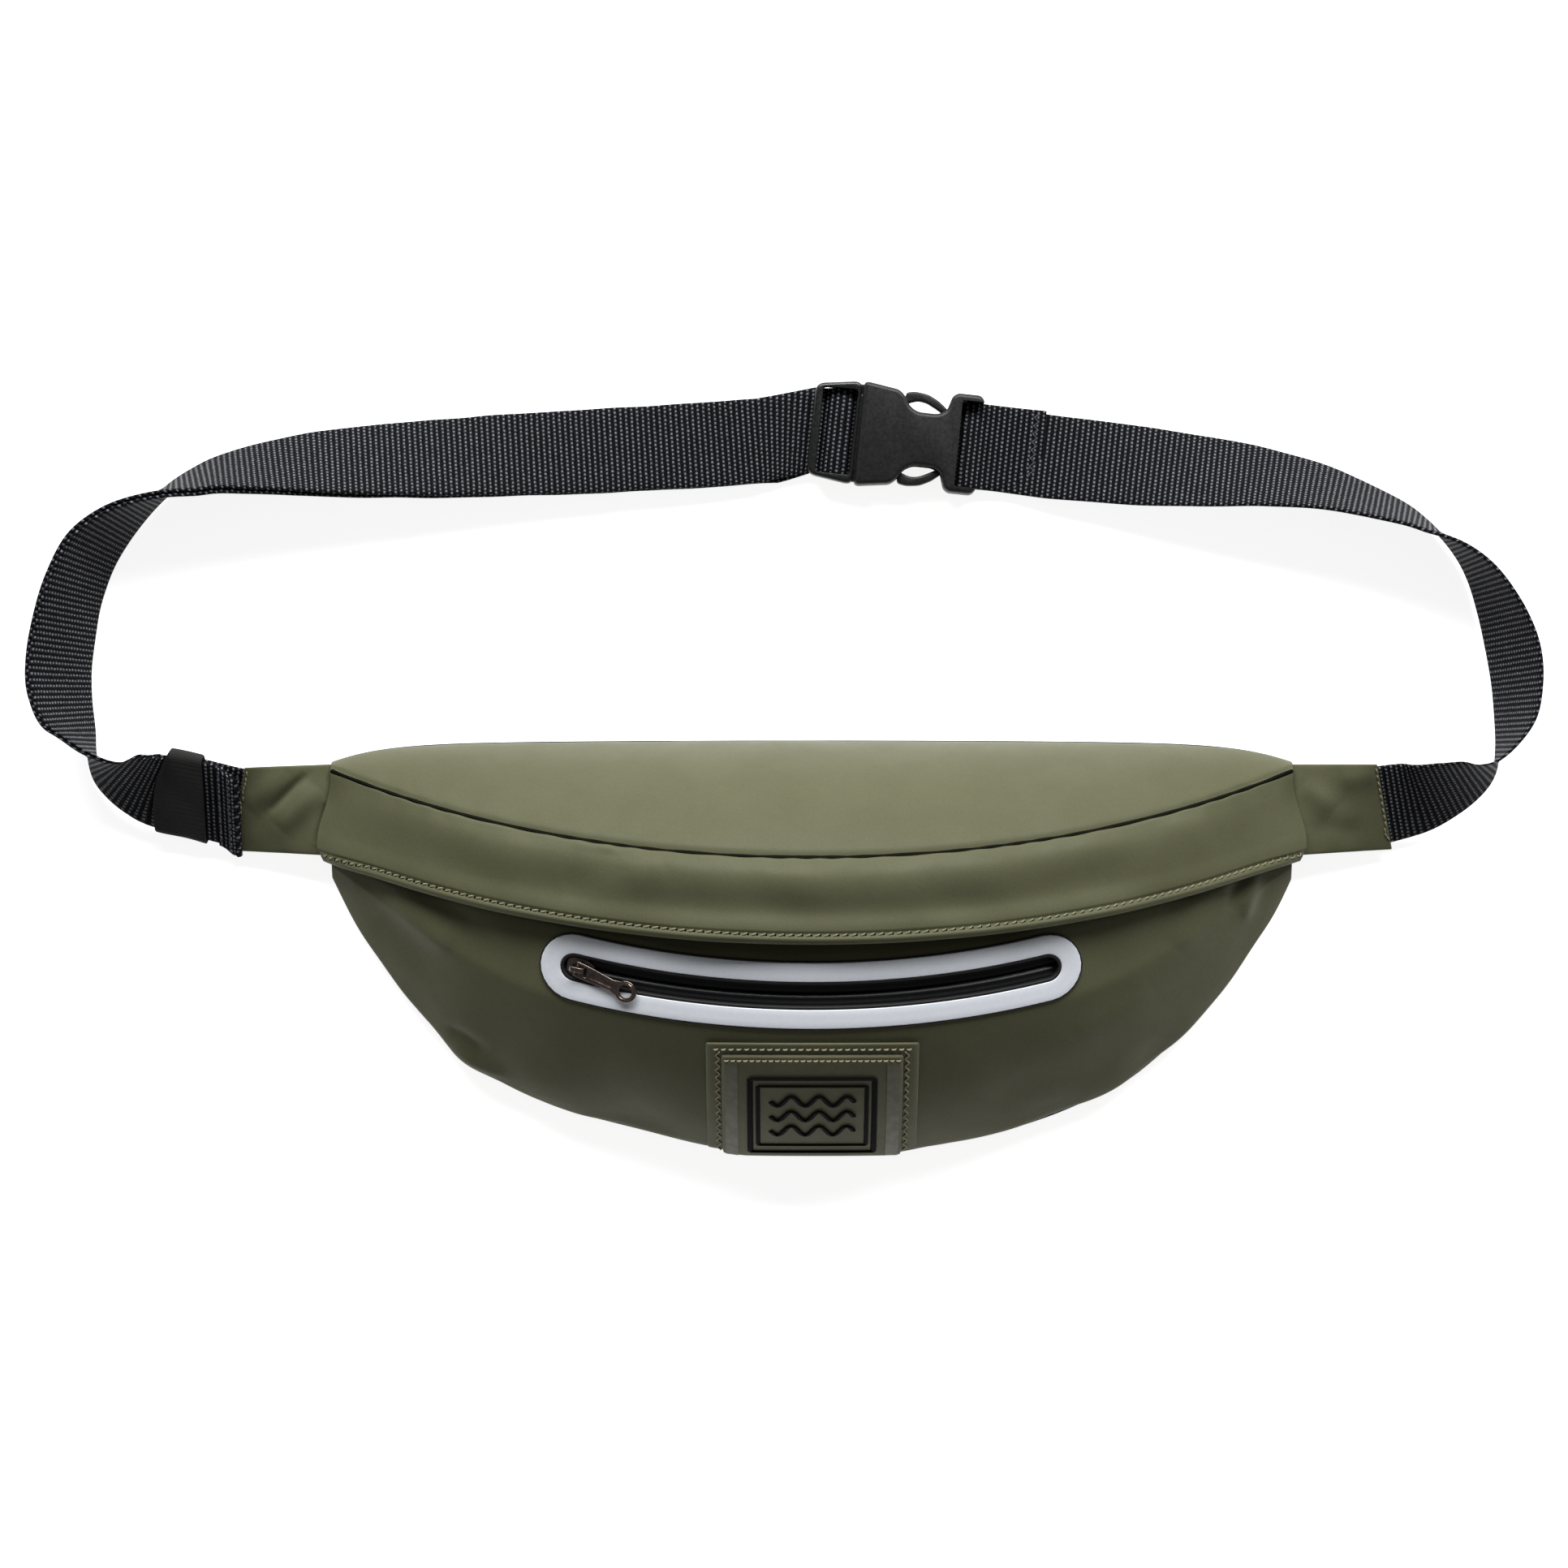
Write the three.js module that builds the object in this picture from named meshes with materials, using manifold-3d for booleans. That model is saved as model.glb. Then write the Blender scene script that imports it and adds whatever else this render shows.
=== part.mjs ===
// A waist bag lying on its back, with its belt laid out in a closed loop behind it.
// Millimetres, +Z up. X runs along the bag, +Y towards the belt, Z away from the wearer.
// The origin is on the middle of the back panel's resting face.
import * as THREE from 'three';
import { mergeVertices } from 'three/addons/utils/BufferGeometryUtils.js';
import Module from 'manifold-3d';

const wasm = await Module();
wasm.setup();

// ---------------------------------------------------------------- driving dimensions
const GAP = 0.3;              // clearance between two pieces that lie against each other
const FABRIC = 1.4;           // coated fabric with its lining
const BAG_END = 168;          // half length of the sewn shell
const BELLY = 171;            // half length of the outline's lower curve
const SHELL_STEPS = 28;       // stations along the bag
const BACK_THICK = 1.6;
const FOAM_TOP = 6.6;

const WEB_WIDE = 30;          // belt webbing
const WEB_HALF = 0.8;         // half of its thickness
const LAYER = 1.9;            // from the middle of one webbing layer to the next

const WINDOW_HALF = 4.6;      // front pocket: half height of the zip window
const WINDOW_LEFT = -85.5;
const WINDOW_RIGHT = 84.5;
const TAPE_FRAME = 7;         // width of the bonded tape round the window
const POCKET_DEPTH = 13;      // from the front to the pocket's lining

const SLIDER_LONG = 10.4;
const SLIDER_WIDE = 7;
const POCKET_REST_DEG = -18.5;    // where each slider stands on its arc
const MAIN_REST_DEG = -27;

const BUCKLE_CENTRE = [29.9, 180.1];
const BUCKLE_TURN = THREE.MathUtils.degToRad(-6);
const BAR_HEIGHT = 3.4;       // middle of the bars that the webbing wraps
const WRAP_RADIUS = 2.4;      // middle of the webbing round a bar

// ---------------------------------------------------------------- colours
const COLOURS = {
  olive: [0x62634b, 0.55, 0],
  oliveDark: [0x3f402f, 0.6, 0],
  lining: [0x2b2c2a, 0.8, 0],
  foam: [0x3a3a38, 0.95, 0],
  webbing: [0x2c2e33, 0.85, 0],
  elastic: [0x171716, 0.9, 0],
  plastic: [0x1c1c1c, 0.4, 0],
  zipTape: [0x242526, 0.3, 0],
  coil: [0x1a1a1a, 0.5, 0],
  metal: [0x3a352e, 0.35, 1],
  reflective: [0xb9bec4, 0.4, 0.2],
  patch: [0x47473c, 0.6, 0],
};

const { Vector3 } = THREE;
const object = new THREE.Group();
const UP = new Vector3(0, 0, 1);

// ---------------------------------------------------------------- solid helpers

function material(name) {
  const [color, roughness, metalness] = COLOURS[name];
  return new THREE.MeshStandardMaterial({ color, roughness, metalness });
}

function addTo(parent, name, geometry, colour) {
  const mesh = new THREE.Mesh(geometry, material(colour));
  mesh.name = name;
  parent.add(mesh);
  return mesh;
}

function add(name, geometry, colour) {
  return addTo(object, name, geometry, colour);
}

// A closed mesh from points and triangles, turned so that its faces point out.
function closedMesh(points, triangles) {
  let volume = 0;
  for (const [a, b, c] of triangles) {
    volume += points[a].dot(points[b].clone().cross(points[c]));
  }
  const index = triangles.flatMap(([a, b, c]) => (volume > 0 ? [a, b, c] : [a, c, b]));
  const geometry = new THREE.BufferGeometry();
  const flat = points.flatMap((p) => [p.x, p.y, p.z]);
  geometry.setAttribute('position', new THREE.Float32BufferAttribute(flat, 3));
  geometry.setIndex(index);
  return geometry;
}

// A thick sheet: pointAt(u, v, side) gives its two faces over a grid of us by vs.
function sheet(us, vs, pointAt) {
  const points = [];
  for (const side of [0, 1]) {
    for (const u of us) {
      for (const v of vs) points.push(pointAt(u, v, side));
    }
  }
  const rows = us.length;
  const columns = vs.length;
  const at = (i, j, side) => (side * rows + i) * columns + j;
  const triangles = [];
  const quad = (a, b, c, d) => triangles.push([a, b, c], [a, c, d]);
  for (let i = 0; i < rows - 1; i += 1) {
    for (let j = 0; j < columns - 1; j += 1) {
      quad(at(i, j, 0), at(i + 1, j, 0), at(i + 1, j + 1, 0), at(i, j + 1, 0));
      quad(at(i, j, 1), at(i, j + 1, 1), at(i + 1, j + 1, 1), at(i + 1, j, 1));
    }
    const last = columns - 1;
    quad(at(i, 0, 0), at(i, 0, 1), at(i + 1, 0, 1), at(i + 1, 0, 0));
    quad(at(i, last, 0), at(i + 1, last, 0), at(i + 1, last, 1), at(i, last, 1));
  }
  for (let j = 0; j < columns - 1; j += 1) {
    const last = rows - 1;
    quad(at(0, j, 0), at(0, j + 1, 0), at(0, j + 1, 1), at(0, j, 1));
    quad(at(last, j, 0), at(last, j, 1), at(last, j + 1, 1), at(last, j + 1, 0));
  }
  return closedMesh(points, triangles);
}

// A convex section carried through a list of stations, each a loop of points. A side
// for which `crossed(station, side)` holds is split along its other diagonal.
function sweep(sections, crossed = () => false) {
  const count = sections[0].length;
  const points = sections.flat();
  const triangles = [];
  for (let i = 0; i < sections.length - 1; i += 1) {
    for (let j = 0; j < count; j += 1) {
      const a = i * count + j;
      const b = i * count + ((j + 1) % count);
      if (crossed(i, j)) triangles.push([a, a + count, b], [b, a + count, b + count]);
      else triangles.push([a, a + count, b + count], [a, b + count, b]);
    }
  }
  const end = (sections.length - 1) * count;
  for (let j = 1; j < count - 1; j += 1) {
    triangles.push([0, j, j + 1], [end, end + j + 1, end + j]);
  }
  return closedMesh(points, triangles);
}

function toSolid(geometry) {
  const bare = geometry.clone();
  bare.deleteAttribute('normal');
  bare.deleteAttribute('uv');
  const merged = mergeVertices(bare, 1e-4);
  return new wasm.Manifold(new wasm.Mesh({
    numProp: 3,
    vertProperties: new Float32Array(merged.attributes.position.array),
    triVerts: new Uint32Array(merged.index.array),
  }));
}

function fromSolid(solid) {
  const mesh = solid.getMesh();
  const geometry = new THREE.BufferGeometry();
  geometry.setAttribute('position', new THREE.BufferAttribute(mesh.vertProperties, 3));
  geometry.setIndex(new THREE.BufferAttribute(mesh.triVerts, 1));
  return geometry;
}

function join(...geometries) {
  return fromSolid(geometries.map(toSolid).reduce((sum, next) => sum.add(next)));
}

function cut(geometry, ...tools) {
  return fromSolid(tools.map(toSolid).reduce((rest, tool) => rest.subtract(tool), toSolid(geometry)));
}

// A box from its lowest to its highest corner.
function box(low, high) {
  const size = high.map((value, i) => value - low[i]);
  const middle = high.map((value, i) => (value + low[i]) / 2);
  return new THREE.BoxGeometry(...size).translate(...middle);
}

// A plan outline raised from z = low to z = high.
function slab(outline, low, high) {
  const shape = new THREE.Shape(outline.map(([x, y]) => new THREE.Vector2(x, y)));
  const settings = { depth: high - low, bevelEnabled: false };
  return new THREE.ExtrudeGeometry(shape, settings).translate(0, 0, low);
}

function range(from, to, steps) {
  return Array.from({ length: steps + 1 }, (_, i) => from + ((to - from) * i) / steps);
}

function smooth(from, to, value) {
  const t = THREE.MathUtils.clamp((value - from) / (to - from), 0, 1);
  return t * t * (3 - 2 * t);
}

// ---------------------------------------------------------------- arcs that the zips follow
// A circular arc in a plane tilted about X, through `middle` at x = 0 and `end` at
// x = halfSpan, both given as [y, z]. `face` is the fabric's normal at x = 0, so the
// band along the arc is part of a cone and a slider on it turns about one straight axis.
class TiltedArc {
  constructor(middle, end, halfSpan, face) {
    const slope = [end[0] - middle[0], end[1] - middle[1]];
    const sag = Math.hypot(...slope);
    this.radius = (halfSpan ** 2 + sag ** 2) / (2 * sag);
    this.inward = new Vector3(0, slope[0] / sag, slope[1] / sag);
    this.centre = new Vector3(0, ...middle).addScaledVector(this.inward, this.radius);
    this.axis = new Vector3(1, 0, 0).cross(this.inward);
    const normal = new Vector3(0, ...face).normalize();
    this.lean = -normal.dot(this.inward);
    this.rise = normal.dot(this.axis);
  }

  radial(angle) {
    return this.inward.clone().multiplyScalar(-Math.cos(angle)).add(new Vector3(Math.sin(angle), 0, 0));
  }

  // v runs up the fabric and n stands out of it
  place(angle, v, n) {
    const radial = this.radial(angle);
    const outwards = this.radius + n * this.lean - v * this.rise;
    return this.centre.clone()
      .addScaledVector(radial, outwards)
      .addScaledVector(this.axis, v * this.lean + n * this.rise);
  }

  at(x, v = 0, n = 0) {
    return this.place(Math.asin(x / (this.radius + n * this.lean - v * this.rise)), v, n);
  }

  // The frame in which a slider at this angle is drawn: x along the zip, y up, z out.
  frame(angle) {
    const origin = this.place(angle, 0, 0);
    const along = this.axis.clone().cross(this.radial(angle));
    const up = this.place(angle, 1, 0).sub(origin);
    const out = this.place(angle, 0, 1).sub(origin);
    return new THREE.Matrix4().makeBasis(along, up, out).setPosition(origin);
  }
}

const seamLine = new TiltedArc([34.3, 64], [64.5, 13], 168, [0, 1]);
const flapLine = new TiltedArc([4.9, 66], [34, 12], 172, [0, 1]);
const mainZip = new TiltedArc([15, 57.5], [46, 6], 170, [0, 1]);
const pocketZip = new TiltedArc([-13.2, 56], [33, 8], 170, [-0.24, 0.97]);

// ---------------------------------------------------------------- the bag's outline
const topEdge = (x) => 73.8 - 1.5 * (x / BELLY) ** 2 - 7 * (x / BELLY) ** 10;

function bottomEdge(x) {
  const r = Math.abs(x) / BELLY;
  return 33 - 106.5 * (1 - r * r) ** (0.5 + 0.3 * r ** 4);
}

// Each piece's thickness is measured towards this point of its own cross-section, so
// that neighbouring pieces meet on a shared mitre.
function core(x) {
  const r2 = (x / BELLY) ** 2;
  const y = (seamLine.at(x).y + flapLine.at(x).y + pocketZip.at(x).y + bottomEdge(x) + topEdge(x)) / 5;
  return new Vector3(x, y, 8 + 12 * (1 - r2));
}

function inwards(point, depth) {
  const direction = core(point.x).sub(point).normalize();
  return point.clone().addScaledVector(direction, depth);
}

function mixed(a, b, t) {
  return a.clone().lerp(b, t);
}

// A point on the bulged section from a to b, standing `bulge` proud at its control point.
function bulged(a, b, bulge, t) {
  const middle = mixed(a, b, 0.5);
  const control = inwards(middle, -bulge);
  return mixed(mixed(a, control, t), mixed(control, b, t), t);
}

const stations = range(-1, 1, SHELL_STEPS).map((t) => BAG_END * Math.sin((Math.PI / 2) * t));
const ZIP_TAPE_HALF = 8;

// Section of the top panel: 0 at the back seam, 1 at the dark front seam.
function topPoint(x, t) {
  const foot = new Vector3(x, topEdge(x) - 0.8, BACK_THICK + GAP + 0.2);
  const brow = new Vector3(x, topEdge(x), 7);
  if (t < 0.15) return mixed(foot, brow, t / 0.15);
  const bulge = 16 * (1 - (x / BELLY) ** 2);
  return bulged(brow, seamLine.at(x, 0.4), bulge, (t - 0.15) / 0.85);
}

// Section of the yoke, which ends in the free flap edge.
function flapPoint(x, t) {
  const bulge = 4.5 * (1 - (x / BELLY) ** 2);
  return bulged(seamLine.at(x, -0.4), flapLine.at(x), bulge, t);
}

// Section of the front panel, numbered 0 under the flap, 1 to 3 across the flat band of
// the pocket zip, 4 at the belly and 5 at the back seam.
const FRONT_LINES = [0, 1, 2, 3, 3.25, 3.5, 3.75, 4, 5];

function frontLine(x, line) {
  const band = 13 - 11 * smooth(85, BAG_END, Math.abs(x));
  const corners = [
    mainZip.at(x, -ZIP_TAPE_HALF - GAP),
    pocketZip.at(x, band),
    pocketZip.at(x),
    pocketZip.at(x, -band),
    new Vector3(x, bottomEdge(x), 7),
    new Vector3(x, bottomEdge(x) + 1, BACK_THICK + GAP + 0.2),
  ];
  const below = Math.min(Math.floor(line), 4);
  const share = line - below;
  if (below === 3) return bulged(corners[3], corners[4], 10 * (1 - (x / BELLY) ** 2), share);
  return mixed(corners[below], corners[below + 1], share);
}

// The same surface on the flat facets between its lines.
function frontPoint(x, line) {
  let upper = FRONT_LINES.findIndex((value) => value >= line);
  upper = Math.max(upper, 1);
  const [a, b] = [FRONT_LINES[upper - 1], FRONT_LINES[upper]];
  return mixed(frontLine(x, a), frontLine(x, b), (line - a) / (b - a));
}

// ---------------------------------------------------------------- strips along an arc
const turnTo = (arc, x) => Math.asin(x / arc.radius);

function strip(arc, fromX, toX, lowV, highV, lowN, highN, steps = 16) {
  const corners = [[lowV, lowN], [highV, lowN], [highV, highN], [lowV, highN]];
  const angles = range(turnTo(arc, fromX), turnTo(arc, toX), steps);
  return sweep(angles.map((angle) => corners.map(([v, n]) => arc.place(angle, v, n))));
}

// A strip with round ends of its own half height.
function roundStrip(arc, fromX, toX, half, lowN, highN) {
  const round = [0.04, 0.16, 0.36, 0.66];
  const spots = [
    ...round.map((share) => fromX + share * half),
    ...range(fromX + half, toX - half, 12),
    ...[...round].reverse().map((share) => toX - share * half),
  ];
  return sweep(spots.map((x) => {
    const angle = turnTo(arc, x);
    const inset = Math.max(half - Math.min(x - fromX, toX - x), 0);
    const v = Math.sqrt(half * half - inset * inset);
    return [[-v, lowN], [v, lowN], [v, highN], [-v, highN]].map(([a, n]) => arc.place(angle, a, n));
  }));
}

// ---------------------------------------------------------------- shell
function addBack() {
  const xs = range(-1, 1, 36).map((t) => BAG_END * Math.sin((Math.PI / 2) * t));
  const outline = [
    ...xs.map((x) => [x, bottomEdge(x) + 0.6]),
    ...[...xs].reverse().map((x) => [x, topEdge(x) - 0.6]),
  ];
  add('back_panel', slab(outline, 0, BACK_THICK), 'oliveDark');
  const inner = range(-1, 1, 20).map((t) => 0.9 * BAG_END * Math.sin((Math.PI / 2) * t));
  const pad = [
    ...inner.map((x) => [x, bottomEdge(x) + 9]),
    ...[...inner].reverse().map((x) => [x, topEdge(x) - 9]),
  ];
  add('back_foam_pad', slab(pad, BACK_THICK + GAP, FOAM_TOP), 'foam');
}

function shellPanel(point, lines, thickness = FABRIC, proud = 0) {
  return sheet(stations, lines, (x, line, side) => inwards(point(x, line), side * thickness - proud));
}

function addShell() {
  add('top_panel', shellPanel(topPoint, [0, 0.15, ...range(0.3, 1, 5)]), 'olive');
  add('storm_flap', shellPanel(flapPoint, range(0, 1, 4)), 'olive');
  const facing = sheet(stations, [0, 0.5, 1], (x, t, side) => {
    const above = inwards(seamLine.at(x, -0.4), FABRIC + 2 * GAP);
    const below = mainZip.at(x, ZIP_TAPE_HALF + 3 * GAP);
    return mixed(above, below, t).addScaledVector(UP, -side * FABRIC);
  });
  add('zip_facing', facing, 'oliveDark');
  const window = roundStrip(pocketZip, WINDOW_LEFT, WINDOW_RIGHT, WINDOW_HALF, -6, 6);
  add('front_panel', cut(shellPanel(frontPoint, FRONT_LINES), window), 'olive');
}

function addPocket() {
  const outer = roundStrip(
    pocketZip, WINDOW_LEFT - TAPE_FRAME, WINDOW_RIGHT + TAPE_FRAME, WINDOW_HALF + TAPE_FRAME, GAP, 0.9);
  const inner = roundStrip(pocketZip, WINDOW_LEFT, WINDOW_RIGHT, WINDOW_HALF, -2, 3);
  add('reflective_frame', cut(outer, inner), 'reflective');
  const lining = sheet(range(-105, 105, 14), [1.1, 2, 3, 3.25, 3.5, 3.75], (x, line, side) =>
    inwards(frontPoint(x, line), POCKET_DEPTH + side * 0.9));
  add('pocket_lining', lining, 'lining');
}

function addLabel() {
  const sheetOn = (half, top, bottom, low, high) =>
    sheet(range(-half, half, 5), [top, 3.25, 3.5, 3.75, bottom], (x, line, side) =>
      inwards(frontPoint(x, line), -(side ? high : low)));
  add('label_patch', sheetOn(36, 3.1, 3.82, GAP, 1.1), 'patch');
  add('label', sheetOn(30.5, 3.18, 3.79, 1.1 + GAP, 2.3), 'patch');
}

// ---------------------------------------------------------------- zips
const COIL_SLIT = 0.9;        // half of the slit that the slider's post runs in

function addZip(name, arc, from, to, tapeTop) {
  const levels = { upper: 1, lower: -1 };
  for (const [place, sign] of Object.entries(levels)) {
    const tape = [sign * COIL_SLIT, sign * (ZIP_TAPE_HALF - GAP)];
    const coil = [sign * COIL_SLIT, sign * 2.6];
    add(`${name}_tape_${place}`, strip(arc, from - 7, to + 7, ...tape, tapeTop - 0.8, tapeTop), 'zipTape');
    add(`${name}_coil_${place}`, strip(arc, from, to, ...coil, tapeTop - 2.7, tapeTop - 1.1), 'coil');
  }
  const stop = [-2.6, 2.6, tapeTop - 2.7, tapeTop - 1.1, 1];
  add(`${name}_stop_left`, strip(arc, from - 3.4, from - GAP, ...stop), 'metal');
  add(`${name}_stop_right`, strip(arc, to + GAP, to + 3.4, ...stop), 'metal');
}

const ARCH_RISE = 3.7;        // height of the arch over the slider's upper plate

// The slider's two plates, the post between them and the arch over the puller's bar.
function sliderBody(tapeTop) {
  const [half, wide] = [SLIDER_LONG / 2, SLIDER_WIDE / 2];
  const shield = [
    [-half, -wide + 1.4], [-half + 1.4, -wide], [half - 2.4, -wide], [half, -wide + 2],
    [half, wide - 2], [half - 2.4, wide], [-half + 1.4, wide], [-half, wide - 1.4],
  ];
  const plateTop = tapeTop + GAP + 1.2;
  return join(
    slab(shield, tapeTop + GAP, plateTop),
    slab(shield, tapeTop - 4.3, tapeTop - 3),
    box([-1.2, -0.5, tapeTop - 3.5], [2.6, 0.5, tapeTop + GAP + 0.5]),
    box([-3.6, -0.9, plateTop - 0.4], [-2.3, 0.9, plateTop + ARCH_RISE]),
    box([1.3, -0.9, plateTop - 0.4], [2.6, 0.9, plateTop + ARCH_RISE]),
    box([-3.6, -0.9, plateTop + ARCH_RISE - 1], [2.6, 0.9, plateTop + ARCH_RISE]),
  );
}

const PULL_BAR = [-0.5, 3.4];         // bar's place along the slider and above the tape
const LONG_PULLER = 18.6;             // from a puller's bar to the hole in its ring
const SHORT_PULLER = 14.8;

// Drawn lying along +x from the bar that its slider's arch holds, its ring's hole at holeAt.
function pullerBody(holeAt) {
  const [hole, rim, plate] = [2.3, 3.9, 1];
  const circle = new THREE.CylinderGeometry(rim, rim, plate, 20).rotateX(Math.PI / 2);
  const bore = new THREE.CylinderGeometry(hole, hole, 3, 20).rotateX(Math.PI / 2);
  const arm = slab([[3.9, -2.3], [holeAt, -2.9], [holeAt, 2.9], [3.9, 2.3]], -plate / 2, plate / 2);
  const cheeks = [-1, 1].map((side) =>
    box([-0.6, side > 0 ? 1.7 : -2.7, -plate / 2], [4.4, side > 0 ? 2.7 : -1.7, plate / 2]));
  const bar = new THREE.CylinderGeometry(0.55, 0.55, 5, 10);
  const body = join(arm, circle.translate(holeAt, 0, 0), bar, ...cheeks);
  return cut(body, bore.translate(holeAt, 0, 0));
}

function addSlider(name, arc, restDeg, tapeTop, pullTurn, pullerReach) {
  const frame = new THREE.Group();
  frame.applyMatrix4(arc.frame(THREE.MathUtils.degToRad(restDeg)));
  addTo(frame, `${name}_slider`, sliderBody(tapeTop), 'metal');
  const puller = addTo(frame, `${name}_puller`, pullerBody(pullerReach), 'metal');
  puller.rotation.z = pullTurn;
  puller.position.set(PULL_BAR[0], 0, tapeTop + PULL_BAR[1]);
  object.add(frame);
}

// ---------------------------------------------------------------- belt webbing
// Routes of the edge that rests on the table: x, y, z and the webbing's tilt in degrees,
// 0 lying flat towards the inside of the loop, 90 standing on its edge.
const LEFT_ROUTE = [
  [-191, 35.4, 4.3, 18.6], [-203, 37.8, 3.2, 28], [-217.5, 41.4, 3.2, 28], [-232, 45, 3.2, 29],
  [-240, 49.4, 2.8, 38], [-246, 54.6, 2.2, 47], [-250.5, 61, 2, 60], [-252, 69, 1.9, 85],
  [-252, 77, 2, 108], [-253.1, 88, 2.2, 122], [-253.1, 100, 2.2, 126], [-251.2, 114.6, 2.2, 124],
  [-248.6, 126, 2.2, 121], [-244, 137.4, 2.1, 117], [-236.6, 148.9, 1.9, 104], [-227, 160, 1.6, 84],
  [-217, 167.4, 1.3, 70], [-205.7, 172.8, 1.1, 62], [-183, 179.2, 1, 46], [-160, 182.8, 1, 35],
  [-125, 186.4, 1, 22], [-85, 189.4, 1, 12], [-45, 192, 1, 7], [-14, 194.2, 1, 3],
];
const RIGHT_ROUTE = [
  [191, 36, 4.4, 17.5], [203, 38.2, 3, 25], [217, 42.2, 2.4, 33], [228.6, 49.1, 2.2, 47],
  [236.6, 56.5, 2, 60], [240.2, 63, 1.8, 74], [240.9, 71, 1.6, 92], [240.5, 81, 1.5, 108],
  [239.4, 93, 1.5, 116], [237.4, 105, 1.4, 118], [234.6, 118, 1.4, 112], [230.8, 131, 1.3, 101],
  [225, 141.4, 1.2, 90], [216.4, 151, 1.1, 77], [205.7, 158.8, 1, 69], [183, 169.5, 1, 56],
  [160, 176.6, 1, 43], [137, 181, 1, 30], [114.3, 184.6, 1, 18], [86, 188.2, 1, 8],
];
const STEPS_PER_LEG = 3;

class Webbing {
  constructor(route, inwardSide) {
    const curve = (points) => new THREE.CatmullRomCurve3(points, false, 'catmullrom');
    this.edge = curve(route.map(([x, y, z]) => new Vector3(x, y, z)));
    this.tilt = curve(route.map(([, , , turn]) => new Vector3(turn, 0, 0)));
    this.legs = route.length - 1;
    this.side = inwardSide;
  }

  // leg counts the route's points from 0; w runs across the webbing, n out of its face
  at(leg, w, n) {
    const t = leg / this.legs;
    const run = this.edge.getTangent(t).setZ(0).normalize();
    const inward = new Vector3(run.y, -run.x, 0).multiplyScalar(this.side);
    const turn = THREE.MathUtils.degToRad(this.tilt.getPoint(t).x);
    const across = inward.clone().multiplyScalar(Math.cos(turn)).addScaledVector(UP, Math.sin(turn));
    const face = inward.clone().multiplyScalar(-Math.sin(turn)).addScaledVector(UP, Math.cos(turn));
    return this.edge.getPoint(t).addScaledVector(across, w).addScaledVector(face, n);
  }

  // the four corners of one layer, the face away from its fold first
  section(leg, middle, outer) {
    const corner = (w, n) => this.at(leg, w, middle + n * WEB_HALF);
    return [corner(0, outer), corner(WEB_WIDE, outer), corner(WEB_WIDE, -outer), corner(0, -outer)];
  }
}

function buckleToWorld(x, y, z) {
  return new Vector3(x, y, z).applyAxisAngle(UP, BUCKLE_TURN).add(new Vector3(...BUCKLE_CENTRE, 0));
}

// Webbing inside the buckle: a layer in the buckle's own frame, as the four corners of
// a section whose middle is at (x, z) and whose outer side faces (outX, outZ).
function buckleSection(x, z, outX, outZ) {
  const corner = (y, n) => buckleToWorld(x + n * outX * WEB_HALF, y, z + n * outZ * WEB_HALF);
  const half = WEB_WIDE / 2;
  return [corner(half, 1), corner(-half, 1), corner(-half, -1), corner(half, -1)];
}

// Round a bar: the webbing comes in low, turns over and leaves high, `way` is +1 where
// it turns on the bar's +x side.
function wrap(barX, way) {
  return range(-90, 90, 6).map((turn) => {
    const angle = THREE.MathUtils.degToRad(turn);
    const [outX, outZ] = [way * Math.cos(angle), Math.sin(angle)];
    return buckleSection(barX + outX * WRAP_RADIUS, BAR_HEIGHT + outZ * WRAP_RADIUS, outX, outZ);
  });
}

const LOCK_BAR = -20.8;       // the bars' places along the buckle
const REAR_BAR = -28.4;
const SEWN_BAR = 24.6;
const LOW_LAYER = BAR_HEIGHT - WRAP_RADIUS;
const KEEPER_LEGS = [1.85, 3];
const TAIL_END = 1.04;

const leftWeb = new Webbing(LEFT_ROUTE, 1);
const rightWeb = new Webbing(RIGHT_ROUTE, -1);

// Both layers of a folded strap are split along the same diagonals, so that they stay
// apart where the strap twists. `outward` sections run to the fold, the rest run back.
function foldedStrap(outward, back) {
  const [outerFace, innerFace] = [0, 2];
  const crossed = (station, face) => face === (station < outward.length ? innerFace : outerFace);
  return sweep([...outward, ...back], crossed);
}

function addLeftStrap() {
  const legs = range(0, leftWeb.legs, leftWeb.legs * STEPS_PER_LEG);
  const back = legs.filter((leg) => leg > TAIL_END + 0.2).reverse();
  const outward = [
    ...legs.map((leg) => leftWeb.section(leg, 0, -1)),
    buckleSection(REAR_BAR, LOW_LAYER, 0, -1),
  ];
  const returning = [
    ...wrap(LOCK_BAR, 1),
    buckleSection(LOCK_BAR - 3, 5.6, 0, 1),
    buckleSection(REAR_BAR + 1.4, LOW_LAYER + LAYER, 0, 1),
    buckleSection(REAR_BAR - 2, LOW_LAYER + LAYER, 0, 1),
    ...back.map((leg) => leftWeb.section(leg, LAYER, 1)),
    leftWeb.section(TAIL_END, LAYER, 1),
  ];
  add('strap_left', foldedStrap(outward, returning), 'webbing');
  const hem = range(TAIL_END, 1.5, 2).map((leg) => leftWeb.section(leg, 2 * LAYER, 1));
  add('strap_tail_hem', sweep(hem), 'webbing');
}

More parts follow.
